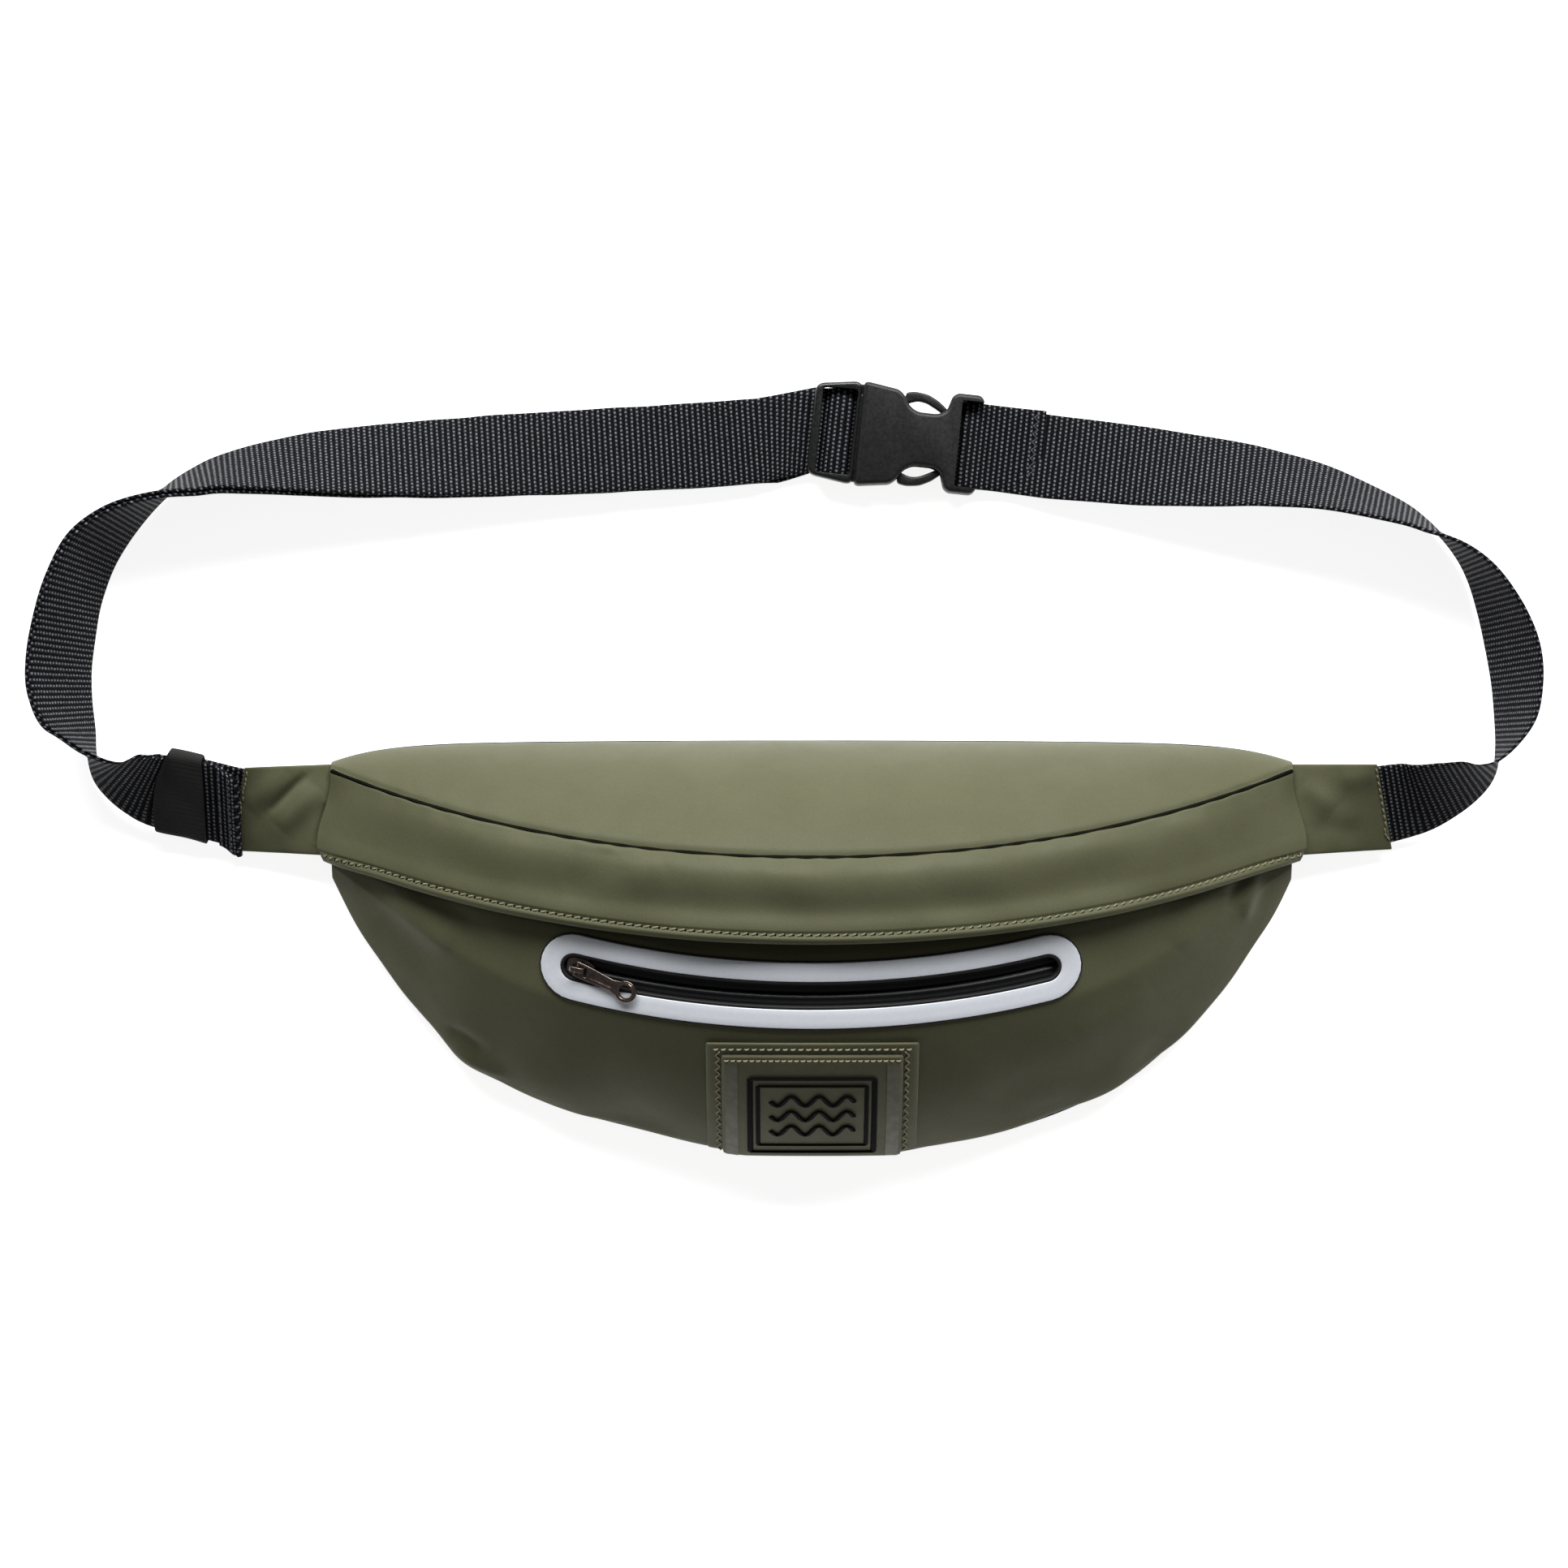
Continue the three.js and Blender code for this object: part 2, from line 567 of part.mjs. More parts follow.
function addKeeper() {
  const [clearance, thickness] = [1, 0.9];
  const ring = (grow, from, to) => sweep(range(from, to, 6).map((leg) => [
    leftWeb.at(leg, -grow, -WEB_HALF - grow),
    leftWeb.at(leg, WEB_WIDE + grow, -WEB_HALF - grow),
    leftWeb.at(leg, WEB_WIDE + grow, LAYER + WEB_HALF + grow),
    leftWeb.at(leg, -grow, LAYER + WEB_HALF + grow),
  ]));
  const [from, to] = KEEPER_LEGS;
  const bore = ring(clearance, from - 0.2, to + 0.2);
  add('keeper', cut(ring(clearance + thickness, from, to), bore), 'elastic');
}

function addRightStrap() {
  const legs = range(0, rightWeb.legs, rightWeb.legs * STEPS_PER_LEG);
  const outward = [
    ...legs.map((leg) => rightWeb.section(leg, 0, -1)),
    buckleSection(SEWN_BAR + 7, LOW_LAYER, 0, -1),
  ];
  const returning = [
    ...wrap(SEWN_BAR, -1),
    buckleSection(SEWN_BAR + 3, BAR_HEIGHT + WRAP_RADIUS - 0.3, 0, 1),
    buckleSection(SEWN_BAR + 10, LOW_LAYER + LAYER, 0, 1),
    rightWeb.section(rightWeb.legs - 0.1, LAYER, 1),
  ];
  add('strap_right', foldedStrap(outward, returning), 'webbing');
}

// ---------------------------------------------------------------- wings
// Each wing is a sleeve of two sheets that starts as the bag's end and closes on the webbing.
function addWing(name, web, side) {
  const [inner, outer, hem] = [BAG_END + 2 * GAP, 1, 1.4];
  const layer = (low, high, near, far) => sheet(range(0, 1, 4), range(0, 1, 4), (t, v, face) => {
    const depth = face ? high : low;
    const start = new Vector3(side * inner, 34 + 31 * v, near + depth);
    const end = web.at(outer, -hem + (WEB_WIDE + 2 * hem) * v, far + depth);
    return mixed(start, end, t);
  });
  const clear = WEB_HALF + GAP;
  add(`${name}_front`, layer(0, 1.1, 11.4, clear), 'olive');
  add(`${name}_back`, layer(-1.1, 0, 5.4, -clear), 'oliveDark');
}

// ---------------------------------------------------------------- buckle
const RAIL_OUT = 18.3;        // half width of the buckle over its side rails
const RAIL_IN = 15.5;
const BUCKLE_LOW = 0.5;
const BUCKLE_TOP = 10.6;
const CAVITY = [2.2, 8.8];    // heights between the female half's two plates
const MOUTH = -13.5;

// Rear bar over the webbing, ladder bar inside its wrap, and the plate in the mouth.
function maleBody() {
  const [railLow, railTop] = [4.1, 8.6];
  const rails = [-1, 1].map((side) => slab([
    [-30, side * 14.6], [-30, side * 17.2], [MOUTH - GAP, side * RAIL_OUT], [MOUTH - GAP, side * RAIL_IN],
    [-24, side * RAIL_IN],
  ], railLow, railTop));
  return join(
    ...rails,
    box([-30, -16, railLow], [-27.3, 16, railTop]),
    box([LOCK_BAR - 2.2, -RAIL_IN - 1, 2.2], [LOCK_BAR + 0.1, RAIL_IN + 1, 4.5]),
    box([-17, -RAIL_IN - 0.5, 4.2], [MOUTH - 2 * GAP, RAIL_IN + 0.5, 8.4]),
    box([-15, -13.8, 2.6], [-9, 13.8, 8.4]),
    box([-10, -3.4, 3.2], [8, 3.4, 7.8]),
  );
}

function femaleBody() {
  const half = [
    [MOUTH, 18.4], [-1, 16.6], [1.2, 14.8], [3.4, 11], [6.4, 9.3], [13.4, 9.3], [16.4, 11],
    [17.8, 16], [19.6, 17.4], [27.6, 17.4], [29.2, 15.8],
  ];
  const outline = [...half, ...half.map(([x, y]) => [x, -y]).reverse()];
  return cut(
    slab(outline, BUCKLE_LOW, BUCKLE_TOP),
    box([MOUTH - 1, -14.2, CAVITY[0]], [17.4, 14.2, CAVITY[1]]),
    box([1.4, -30, CAVITY[0]], [17.4, 30, CAVITY[1]]),
    box([20.6, -RAIL_IN, -1], [SEWN_BAR - 0.6, RAIL_IN, 12]),
    box([20.6, -RAIL_IN, 4.5], [40, RAIL_IN, 12]),
    box([20.6, -RAIL_IN, -1], [40, RAIL_IN, 2.1]),
    box([SEWN_BAR + 1.9, -RAIL_IN, -1], [40, RAIL_IN, 12]),
  );
}

const PRONG_PIVOT = [-7, 12];

function prongBody(side) {
  const [pivotX, pivotY] = PRONG_PIVOT;
  const band = [
    [-8.2, 10.6], [0, 10.8], [3, 12.8], [6, 14.1], [9, 13.7], [13, 11.6], [15.4, 9.9], [16.8, 11.2],
    [13.5, 14], [9.5, 16], [5, 16.6], [1.6, 16], [1.4, 13.6], [-8.2, 13.4],
  ];
  return slab(band.map(([x, y]) => [x - pivotX, side * (y - pivotY)]), 3.2, 7.8);
}

function addBuckle() {
  const buckle = new THREE.Group();
  buckle.position.set(...BUCKLE_CENTRE, 0);
  buckle.rotation.z = BUCKLE_TURN;
  addTo(buckle, 'male_buckle', maleBody(), 'plastic');
  addTo(buckle, 'female_buckle', femaleBody(), 'plastic');
  for (const [name, side] of [['prong_upper', 1], ['prong_lower', -1]]) {
    const prong = addTo(buckle, name, prongBody(side), 'plastic');
    prong.position.set(PRONG_PIVOT[0], side * PRONG_PIVOT[1], 0);
  }
  object.add(buckle);
}

// ---------------------------------------------------------------- assembly
addBack();
addShell();
addPocket();
addLabel();
addZip('pocket_zip', pocketZip, WINDOW_LEFT + 0.6, WINDOW_RIGHT - 0.6, -1.9);
addZip('main_zip', mainZip, -137, 137, 0);
addSlider('pocket_zip', pocketZip, POCKET_REST_DEG, -1.9, THREE.MathUtils.degToRad(-12), LONG_PULLER);
addSlider('main_zip', mainZip, MAIN_REST_DEG, 0, 0, SHORT_PULLER);
addWing('wing_left', leftWeb, -1);
addWing('wing_right', rightWeb, 1);
addLeftStrap();
addRightStrap();
addKeeper();
addBuckle();

export default object;
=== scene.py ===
"""A waist bag lying on its back with its belt laid out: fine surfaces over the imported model.

Lengths are in millimetres until a mesh is made. X runs along the bag, Y towards the belt,
Z away from the wearer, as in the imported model.
"""
import math

import bpy
import numpy as np
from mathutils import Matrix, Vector


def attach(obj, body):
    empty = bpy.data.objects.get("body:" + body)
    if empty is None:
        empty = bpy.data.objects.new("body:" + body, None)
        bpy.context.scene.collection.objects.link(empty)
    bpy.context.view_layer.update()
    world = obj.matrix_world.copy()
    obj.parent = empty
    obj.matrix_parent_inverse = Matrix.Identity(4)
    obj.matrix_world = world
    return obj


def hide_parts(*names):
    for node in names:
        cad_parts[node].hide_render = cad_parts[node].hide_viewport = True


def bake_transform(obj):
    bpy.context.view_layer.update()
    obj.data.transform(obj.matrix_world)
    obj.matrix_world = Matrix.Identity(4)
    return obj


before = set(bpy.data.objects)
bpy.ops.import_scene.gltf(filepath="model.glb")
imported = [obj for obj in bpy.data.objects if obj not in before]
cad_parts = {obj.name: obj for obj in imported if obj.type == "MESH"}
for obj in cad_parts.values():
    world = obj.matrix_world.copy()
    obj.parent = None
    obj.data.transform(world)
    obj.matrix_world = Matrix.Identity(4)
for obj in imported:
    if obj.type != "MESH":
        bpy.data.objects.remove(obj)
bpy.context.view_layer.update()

# ---------------------------------------------------------------- dimensions
MM = 0.001
BAG_END = 168.0          # half length of the sewn shell
BELLY = 171.0            # half length of the outline's lower curve
FABRIC = 1.4
BACK_THICK = 1.6
SHELL_FOOT = 2.1         # height where the shell meets the back panel
BROW = 7.0               # height where the shell's foot turns into its slopes

WING_SHEET = 1.1
WEB_WIDE = 30.0
WEB_HALF = 0.8
LAYER = 1.9              # from the middle of one webbing layer to the next
WINDOW_HALF = 4.6        # the pocket's zip window and the tape round it
WINDOW_LEFT = -85.5
WINDOW_RIGHT = 84.5
WINDOW_MIDDLE = (WINDOW_LEFT + WINDOW_RIGHT) / 2
WINDOW_STRAIGHT = (WINDOW_RIGHT - WINDOW_LEFT) / 2 - WINDOW_HALF
TAPE_FRAME = 7.0
POCKET_TAPE_TOP = -1.9   # depth of the pocket's zip tape under the fabric
POCKET_DEPTH = 13.0
ZIP_TAPE_HALF = 8.0
MAIN_ZIP_END = 137       # where the main zip's teeth end
POCKET_REST_DEG = -18.5
MAIN_REST_DEG = -27.0
PULLER_TURN_DEG = -12.0
LONG_PULLER = 18.6       # from a puller's bar to the hole in its ring
SHORT_PULLER = 14.8
ZIP_SIDES = (("upper", 1), ("lower", -1))

LOBE = 4.6               # how far the yoke's lower corners swell past the bag's ends
STITCH_LINE = 3.1        # from the yoke's free edge to its topstitch
THREAD = 0.27

PATCH_HALF = 36.0
PATCH_TOP = -29.6
PATCH_BOTTOM = -69.6
LABEL_HALF = 30.7
LABEL_TOP = -33.3

RAIL_IN = 15.5           # half width between the buckle's side rails
MOUTH = -13.5            # where the female half begins
BUCKLE_CENTRE = (29.9, 180.1)
BUCKLE_TURN = math.radians(-6)
BAR_HEIGHT = 3.4
WRAP_RADIUS = 2.4
LOCK_BAR = -20.8
REAR_BAR = -28.4
SEWN_BAR = 24.6
FOLDED_END = 51.4        # where the right strap's turned-back layer ends
LOW_LAYER = BAR_HEIGHT - WRAP_RADIUS
KEEPER_LEGS = (1.85, 3.0)    # places along the left route, counted in its legs
TAIL_END = 1.04
HEM_END = 1.5
TAIL_SKEW = 0.42         # legs by which the keeper and the tail's end lie askew
KEEPER_DRAWN = 0.28      # legs by which the keeper's inner edge is drawn out
TAIL_DRIFT = 2.0         # how far the tail's end slips sideways and stands up
TAIL_RISE = 1.1

FINE = 1.0       # share of the full mesh density

# ---------------------------------------------------------------- vectors


def vec(x, y, z):
    """Points from coordinates that broadcast together."""
    return np.stack(np.broadcast_arrays(*(np.asarray(c, float) for c in (x, y, z))), -1)


def unit(v):
    """The directions of vectors."""
    return v / np.maximum(np.linalg.norm(v, axis=-1, keepdims=True), 1e-9)


def smooth(start, end, value):
    """0 at start and 1 at end, level at both."""
    t = np.clip((value - start) / (end - start), 0, 1)
    return t * t * (3 - 2 * t)


def mixed(a, b, t):
    """Points a share t of the way from a to b."""
    t = np.asarray(t, float)[..., None]
    return a * (1 - t) + b * t


def far_along(points):
    """Distance of each point along its path or section, from the first."""
    step = np.linalg.norm(np.diff(points, axis=-2), axis=-1)
    return np.concatenate([np.zeros(step.shape[:-1] + (1,)), np.cumsum(step, axis=-1)], -1)


def steps(count):
    """A number of mesh steps at the density in use."""
    return max(4, int(count * FINE))


def full_turn(count):
    """Even angles round a circle."""
    return np.linspace(0, 2 * math.pi, count, endpoint=False)


def all_along(points, direction):
    """One direction for every point."""
    return np.broadcast_to(direction, points.shape)


UP = (0, 0, 1.0)


# ---------------------------------------------------------------- the curves of the bag
class TiltedArc:
    """A circular arc tilted about X, through `middle` at x = 0 and `end` at half_span."""

    def __init__(self, middle, end, half_span, face):
        slope = np.subtract(end, middle)
        sag = np.hypot(*slope)
        self.radius = (half_span**2 + sag**2) / (2 * sag)
        self.inward = np.array([0, *(slope / sag)])
        self.centre = np.array([0, *middle]) + self.inward * self.radius
        self.axis = np.cross([1, 0, 0], self.inward)
        normal = unit(np.array([0.0, *face]))
        self.lean = -normal @ self.inward
        self.rise = normal @ self.axis

    def place(self, angle, v, n):
        """v runs up the fabric and n stands out of it."""
        angle, v, n = np.broadcast_arrays(*(np.asarray(c, float) for c in (angle, v, n)))
        sideways = np.array([1.0, 0, 0]) * np.sin(angle)[..., None]
        radial = sideways - self.inward * np.cos(angle)[..., None]
        reach = self.radius + n * self.lean - v * self.rise
        height = v * self.lean + n * self.rise
        return self.centre + radial * reach[..., None] + self.axis * height[..., None]

    def at(self, x, v=0.0, n=0.0):
        reach = self.radius + np.asarray(n) * self.lean - np.asarray(v) * self.rise
        return self.place(np.arcsin(np.asarray(x) / reach), v, n)

    def along(self, x, v=0.0, n=0.0):
        """Like at(), but square to the arc: v and n leave the arc's own point at x."""
        return self.place(np.arcsin(np.asarray(x) / self.radius), v, n)

    def axes(self, angle):
        """Origin and axes in which a slider at this angle is drawn."""
        origin = self.place(angle, 0, 0)
        up = self.place(angle, 1, 0) - origin
        out = self.place(angle, 0, 1) - origin
        return origin, np.cross(up, out), up, out


SEAM_LINE = TiltedArc((34.3, 64), (64.5, 13), 168, (0, 1))
FLAP_LINE = TiltedArc((4.9, 66), (34, 12), 172, (0, 1))
MAIN_ZIP = TiltedArc((15, 57.5), (46, 6), 170, (0, 1))
POCKET_ZIP = TiltedArc((-13.2, 56), (33, 8), 170, (-0.24, 0.97))


def hump(x, middle, width, height):
    """A bell of this height."""
    return height * np.exp(-(((x - middle) / width) ** 2))


def top_edge(x):
    """Y of the bag's outline on the belt's side."""
    r = np.abs(x) / BELLY
    return 73.8 - 1.5 * r**2 - 7 * r**10


def bottom_edge(x):
    """Y of the bag's outline at the belly, with the sag of an empty bag."""
    r = np.minimum(np.abs(x) / BELLY, 1)
    slack = 1.7 * (1 - r * r) + hump(x, -64, 27, 2.4) - hump(x, -122, 8, 1.3) - hump(x, 111, 8, 0.9)
    return 33 - 106.5 * (1 - r * r) ** (0.5 + 0.3 * r**4) + slack


def roundness(x):
    """1 in the middle of the bag, 0 at its ends."""
    return 1 - (np.asarray(x) / BELLY) ** 2


def core(x):
    """The point of a cross-section that thicknesses are measured towards."""
    lines = (SEAM_LINE.at(x), FLAP_LINE.at(x), POCKET_ZIP.at(x))
    y = (sum(p[..., 1] for p in lines) + bottom_edge(x) + top_edge(x)) / 5
    return vec(x, y, 8 + 12 * roundness(x))


def outward(points):
    """Directions out of the bag."""
    return unit(points - core(points[..., 0]))


def lifted(points, height):
    return points + outward(points) * np.asarray(height, float)[..., None]


def bulged(a, b, bulge, t):
    """Points on a curve from a to b that swells out by about half the bulge."""
    control = lifted((a + b) / 2, bulge)
    return mixed(mixed(a, control, t), mixed(control, b, t), t)


def softened(points, rounds):
    """Rounds the corners of the sections, which run along the second axis."""
    points = points.copy()
    for _ in range(rounds):
        points[:, 1:-1] = (points[:, :-2] + 2 * points[:, 1:-1] + points[:, 2:]) / 4
    return points


def stations(count, reach=1.0):
    """Places along the bag for its cross-sections, closest together at the ends."""
    x = BAG_END * reach * np.sin(np.linspace(-1, 1, steps(count)) * math.pi / 2)
    return x[:, None]


def top_section(x, t):
    """The top panel, from the back panel at t = 0 to the seam line at t = 1."""
    foot = vec(x, top_edge(x) - 0.8, SHELL_FOOT)
    brow = vec(x, top_edge(x), BROW)
    low = mixed(foot, brow, np.clip(t / 0.15, 0, 1))
    high = bulged(brow, SEAM_LINE.at(x, 0.4), 16 * roundness(x), np.clip((t - 0.15) / 0.85, 0, 1))
    return np.where((t < 0.15)[..., None], low, high)


def flap_section(x, t):
    """The yoke, from the seam line to its free edge."""
    return bulged(SEAM_LINE.at(x, -0.4), FLAP_LINE.at(x), 4.5 * roundness(x), t)


def front_section(x, line):
    """0 under the flap, 1 to 3 over the pocket zip's flat band, 4 at the belly, 5 at the back."""
    band = 13 - 11 * smooth(85, BAG_END, np.abs(x))
    corners = [
        MAIN_ZIP.at(x, -ZIP_TAPE_HALF - 0.3),
        POCKET_ZIP.at(x, band),
        POCKET_ZIP.at(x),
        POCKET_ZIP.at(x, -band),
        vec(x, bottom_edge(x), BROW),
        vec(x, bottom_edge(x) + 1, SHELL_FOOT),
    ]
    shape = np.broadcast_shapes(np.shape(x), np.shape(line))
    line = np.broadcast_to(line, shape)
    result = np.zeros(shape + (3,))
    for below in range(5):
        share = np.clip(line - below, 0, 1)
        if below == 3:
            piece = bulged(corners[3], corners[4], 10 * roundness(x), share)
        else:
            piece = mixed(corners[below], corners[below + 1], share)
        here = (line >= below) & (line <= below + 1)
        result = np.where(here[..., None], piece, result)
    return result


# ---------------------------------------------------------------- soft relief in the fabric
def ridge(points, start, end, width, height):
    """A soft ridge, or a dent where height is negative, between two places in plan."""
    a, b = np.array(start, float), np.array(end, float)
    across = points[..., :2] - a
    run = b - a
    share = np.clip(across @ run / (run @ run), 0, 1)
    off = np.linalg.norm(across - share[..., None] * run, axis=-1)
    fade = 1 - 0.75 * np.abs(2 * share - 1) ** 3
    return height * fade * np.exp(-((off / width) ** 2))


def ripple(points, size, seed):
    """A smooth uneven wave of about this size in plan, between -1 and 1."""
    source = np.random.default_rng(seed)
    total = np.zeros(points.shape[:-1])
    for _ in range(6):
        angle = source.uniform(0, math.pi)
        wave = 2 * math.pi / (size * source.uniform(0.7, 1.6))
        phase = source.uniform(0, 2 * math.pi)
        far = points[..., 0] * math.cos(angle) + points[..., 1] * math.sin(angle)
        total += np.sin(far * wave + phase)
    return total / 3


def relief(points, ridges):
    return sum(ridge(points, *item) for item in ridges)


# ---------------------------------------------------------------- meshes
def new_object(name, shape):
    """An object from (points, faces)."""
    points, faces = shape
    mesh = bpy.data.meshes.new(name)
    mesh.from_pydata(np.asarray(points, float).tolist(), [], [list(map(int, face)) for face in faces])
    made = bpy.data.objects.new(name, mesh)
    bpy.context.scene.collection.objects.link(made)
    return made


def make_piece(name, shape, look, body="bag", nodes=(), uv=None):
    """A named mesh that rides a body, wears a look and stands for some CAD nodes."""
    piece = new_object(name, (np.asarray(shape[0], float) * MM, shape[1]))
    mesh = piece.data
    mesh.validate()
    if uv is not None:
        layer = mesh.uv_layers.new(name="along_across")
        loops = np.zeros(len(mesh.loops), int)
        mesh.loops.foreach_get("vertex_index", loops)
        layer.data.foreach_set("uv", (uv.reshape(-1, 2)[loops] * MM).ravel())
    mesh.polygons.foreach_set("use_smooth", [True] * len(mesh.polygons))
    slot_name, material = look
    mesh.materials.append(material)
    if body:
        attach(piece, body)
    if nodes:
        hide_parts(*nodes)
    return piece


def grid_faces(rows, columns, wrap=False):
    i = np.arange(rows - 1)[:, None]
    j = np.arange(columns if wrap else columns - 1)[None, :]
    following = (j + 1) % columns
    here, below = i * columns, (i + 1) * columns
    corners = (here + j, here + following, below + following, below + j)
    return np.stack(np.broadcast_arrays(*corners), -1).reshape(-1, 4)


def tube(loops, closed_ends=True):
    """Points and faces of a closed section carried along the first axis."""
    rows, columns = loops.shape[:2]
    faces = grid_faces(rows, columns, wrap=True).tolist()
    if closed_ends:
        faces.append(list(range(columns))[::-1])
        faces.append([(rows - 1) * columns + j for j in range(columns)])
    return loops.reshape(-1, 3), faces


def thick_sheet(outer, inner):
    """A sheet between two grids, with round edges all the way round."""
    middle, half = (outer + inner) / 2, (outer - inner) / 2
    thick = np.linalg.norm(half, axis=-1, keepdims=True)

    def edge(column, beside):
        away = unit(middle[:, column] - middle[:, beside])
        turns = np.radians([60, 20, -20, -60])
        return np.stack([
            middle[:, column] + half[:, column] * math.sin(a) + away * thick[:, column] * math.cos(a)
            for a in turns
        ], 1)

    loops = np.concatenate([outer, edge(-1, -2), inner[:, ::-1], edge(0, 1)[:, ::-1]], 1)
    flat = np.concatenate([middle, edge(-1, -2) * 0 + middle[:, -1:], middle[:, ::-1],
                           edge(0, 1) * 0 + middle[:, :1]], 1)
    first, last = flat[:1] + (flat[:1] - flat[1:2]) * 0.3, flat[-1:] + (flat[-1:] - flat[-2:-1]) * 0.3
    loops = np.concatenate([first, loops, last], 0)
    return tube(loops, closed_ends=False)


def holed_sheet(outer, inner, keep):
    """A sheet between two grids, without the cells that aren't kept, closed round every edge."""
    rows, columns = outer.shape[:2]
    count = rows * columns
    faces = []
    padded = np.zeros((rows + 1, columns + 1), bool)
    padded[1:-1, 1:-1] = keep
    for i in range(rows - 1):
        for j in range(columns - 1):
            if not keep[i, j]:
                continue
            a, b = i * columns + j, i * columns + j + 1
            d, c = a + columns, b + columns
            faces += [[a, b, c, d], [d + count, c + count, b + count, a + count]]
            around = (
                (padded[i, j + 1], a, b), (padded[i + 1, j + 2], b, c),
                (padded[i + 2, j + 1], c, d), (padded[i + 1, j], d, a),
            )
            faces += [[q, p, p + count, q + count] for kept, p, q in around if not kept]
    return np.concatenate([outer.reshape(-1, 3), inner.reshape(-1, 3)]), faces


def rounded_box_section(half_wide, low, high, radius, corner_steps=3, wide_steps=1):
    """(across, height) round a flat section with rounded corners."""
    turns = np.linspace(0, math.pi / 2, corner_steps + 1)
    spots = []
    corners = ((1, 1, 0), (-1, 1, 1), (-1, -1, 2), (1, -1, 3))
    for side, level, quarter in corners:
        middle = (side * (half_wide - radius), (high - radius) if level > 0 else (low + radius))
        spots += [(middle[0] + radius * math.cos(t + quarter * math.pi / 2),
                   middle[1] + radius * math.sin(t + quarter * math.pi / 2)) for t in turns]
        if quarter in (0, 2):
            run = np.linspace(side, -side, wide_steps + 1)[1:-1] * (half_wide - radius)
            spots += [(across, high if quarter == 0 else low) for across in run]
    return np.array(spots)


def path_frames(points, normals):
    """Tangent, sideways and outward directions along a path."""
    run = unit(np.gradient(points, axis=0))
    side = unit(np.cross(normals, run))
    return run, side, unit(np.cross(run, side))


def band(points, normals, section):
    """A closed section carried along a path: (sideways, outwards) pairs."""
    _, side, out = path_frames(points, normals)
    return points[:, None] + side[:, None] * section[None, :, :1] + out[:, None] * section[None, :, 1:]


def resampled(points, normals, pitch):
    """The same path at an even pitch."""
    far = far_along(points)
    count = max(2, int(round(far[-1] / pitch)) + 1)
    spots = np.linspace(0, far[-1], count)

    def put(values):
        return np.stack([np.interp(spots, far, values[:, k]) for k in range(3)], 1)

    return put(points), unit(put(normals))


def joined(parts):
    """Several (points, faces) as one."""
    points, faces, count = [], [], 0
    for some_points, some_faces in parts:
        points.append(np.asarray(some_points).reshape(-1, 3))
        faces += [[index + count for index in face] for face in some_faces]
        count += len(points[-1])
    return np.concatenate(points), faces


def stitch_row(points, normals, pitch=3.0, length=2.3, slant=0.25, radius=THREAD):
    """Short thread dashes along a path, each dipping into the fabric at its ends."""
    points, normals = resampled(points, normals, pitch)
    run, side, out = path_frames(points, normals)
    along = np.linspace(-1, 1, 7)
    turns = full_turn(8)
    loops = []
    for share in along:
        spine = points + run * (share * length / 2) + side * (share * slant * length / 2)
        spine = spine + out * (radius * (0.9 - 2.2 * share**4))
        size = radius * math.sqrt(max(1 - 0.9 * share**4, 0.05))
        ring = side[:, None] * np.cos(turns)[None, :, None] + out[:, None] * np.sin(turns)[None, :, None]
        loops.append(spine[:, None] + ring * size)
    loops = np.stack(loops, 1)
    return joined([tube(one) for one in loops])


# ---------------------------------------------------------------- materials
class Graph:
    """A node material that is built by short calls."""

    def __init__(self, name):
        self.material = bpy.data.materials.new(name)
        self.material.use_nodes = True
        self.tree = self.material.node_tree
        self.shader = self.tree.nodes["Principled BSDF"]
        self.place = self.add("TexCoord").outputs["Object"]

    def add(self, kind, settings=None, **inputs):
        node = self.tree.nodes.new("ShaderNode" + kind)
        for key, value in (settings or {}).items():
            setattr(node, key, value)
        for key, value in inputs.items():
            self.put(node.inputs[key.replace("_", " ")], value)
        return node

    def put(self, socket, value):
        if isinstance(value, bpy.types.NodeSocket):
            self.tree.links.new(value, socket)
        else:
            socket.default_value = value

    def math(self, operation, first, second=0.0):
        node = self.add("Math", {"operation": operation})
        self.put(node.inputs[0], first)
        self.put(node.inputs[1], second)
        return node.outputs[0]

    def times(self, first, second):
        return self.math("MULTIPLY", first, second)

    def plus(self, first, second):
        return self.math("ADD", first, second)

    def noise(self, scale, detail=2.0, roughness=0.5, at=None):
        node = self.add("TexNoise", Vector=at or self.place, Scale=scale, Detail=detail, Roughness=roughness)
        return node.outputs["Fac"]

    def between(self, value, from_low, from_high, low, high):
        node = self.add("MapRange", {"interpolation_type": "SMOOTHSTEP"})
        for socket, number in zip(node.inputs, (value, from_low, from_high, low, high)):
            self.put(socket, number)
        return node.outputs[0]

    def blend(self, share, first, second):
        node = self.add("Mix", {"data_type": "RGBA"})
        self.put(node.inputs["Factor"], share)
        self.put(node.inputs["A"], (*first, 1.0) if isinstance(first, tuple) else first)
        self.put(node.inputs["B"], (*second, 1.0) if isinstance(second, tuple) else second)
        return node.outputs["Result"]

    def bump(self, height, depth_mm, strength=1.0):
        node = self.add("Bump", Height=height, Distance=depth_mm * MM, Strength=strength)
        self.put(self.shader.inputs["Normal"], node.outputs["Normal"])

    def finish(self, color=None, roughness=None, **fixed):
        if color is not None:
            value = (*color, 1.0) if isinstance(color, tuple) else color
            self.put(self.shader.inputs["Base Color"], value)
        if roughness is not None:
            self.put(self.shader.inputs["Roughness"], roughness)
        for key, value in fixed.items():
            self.shader.inputs[key.replace("_", " ")].default_value = value
        return self.material


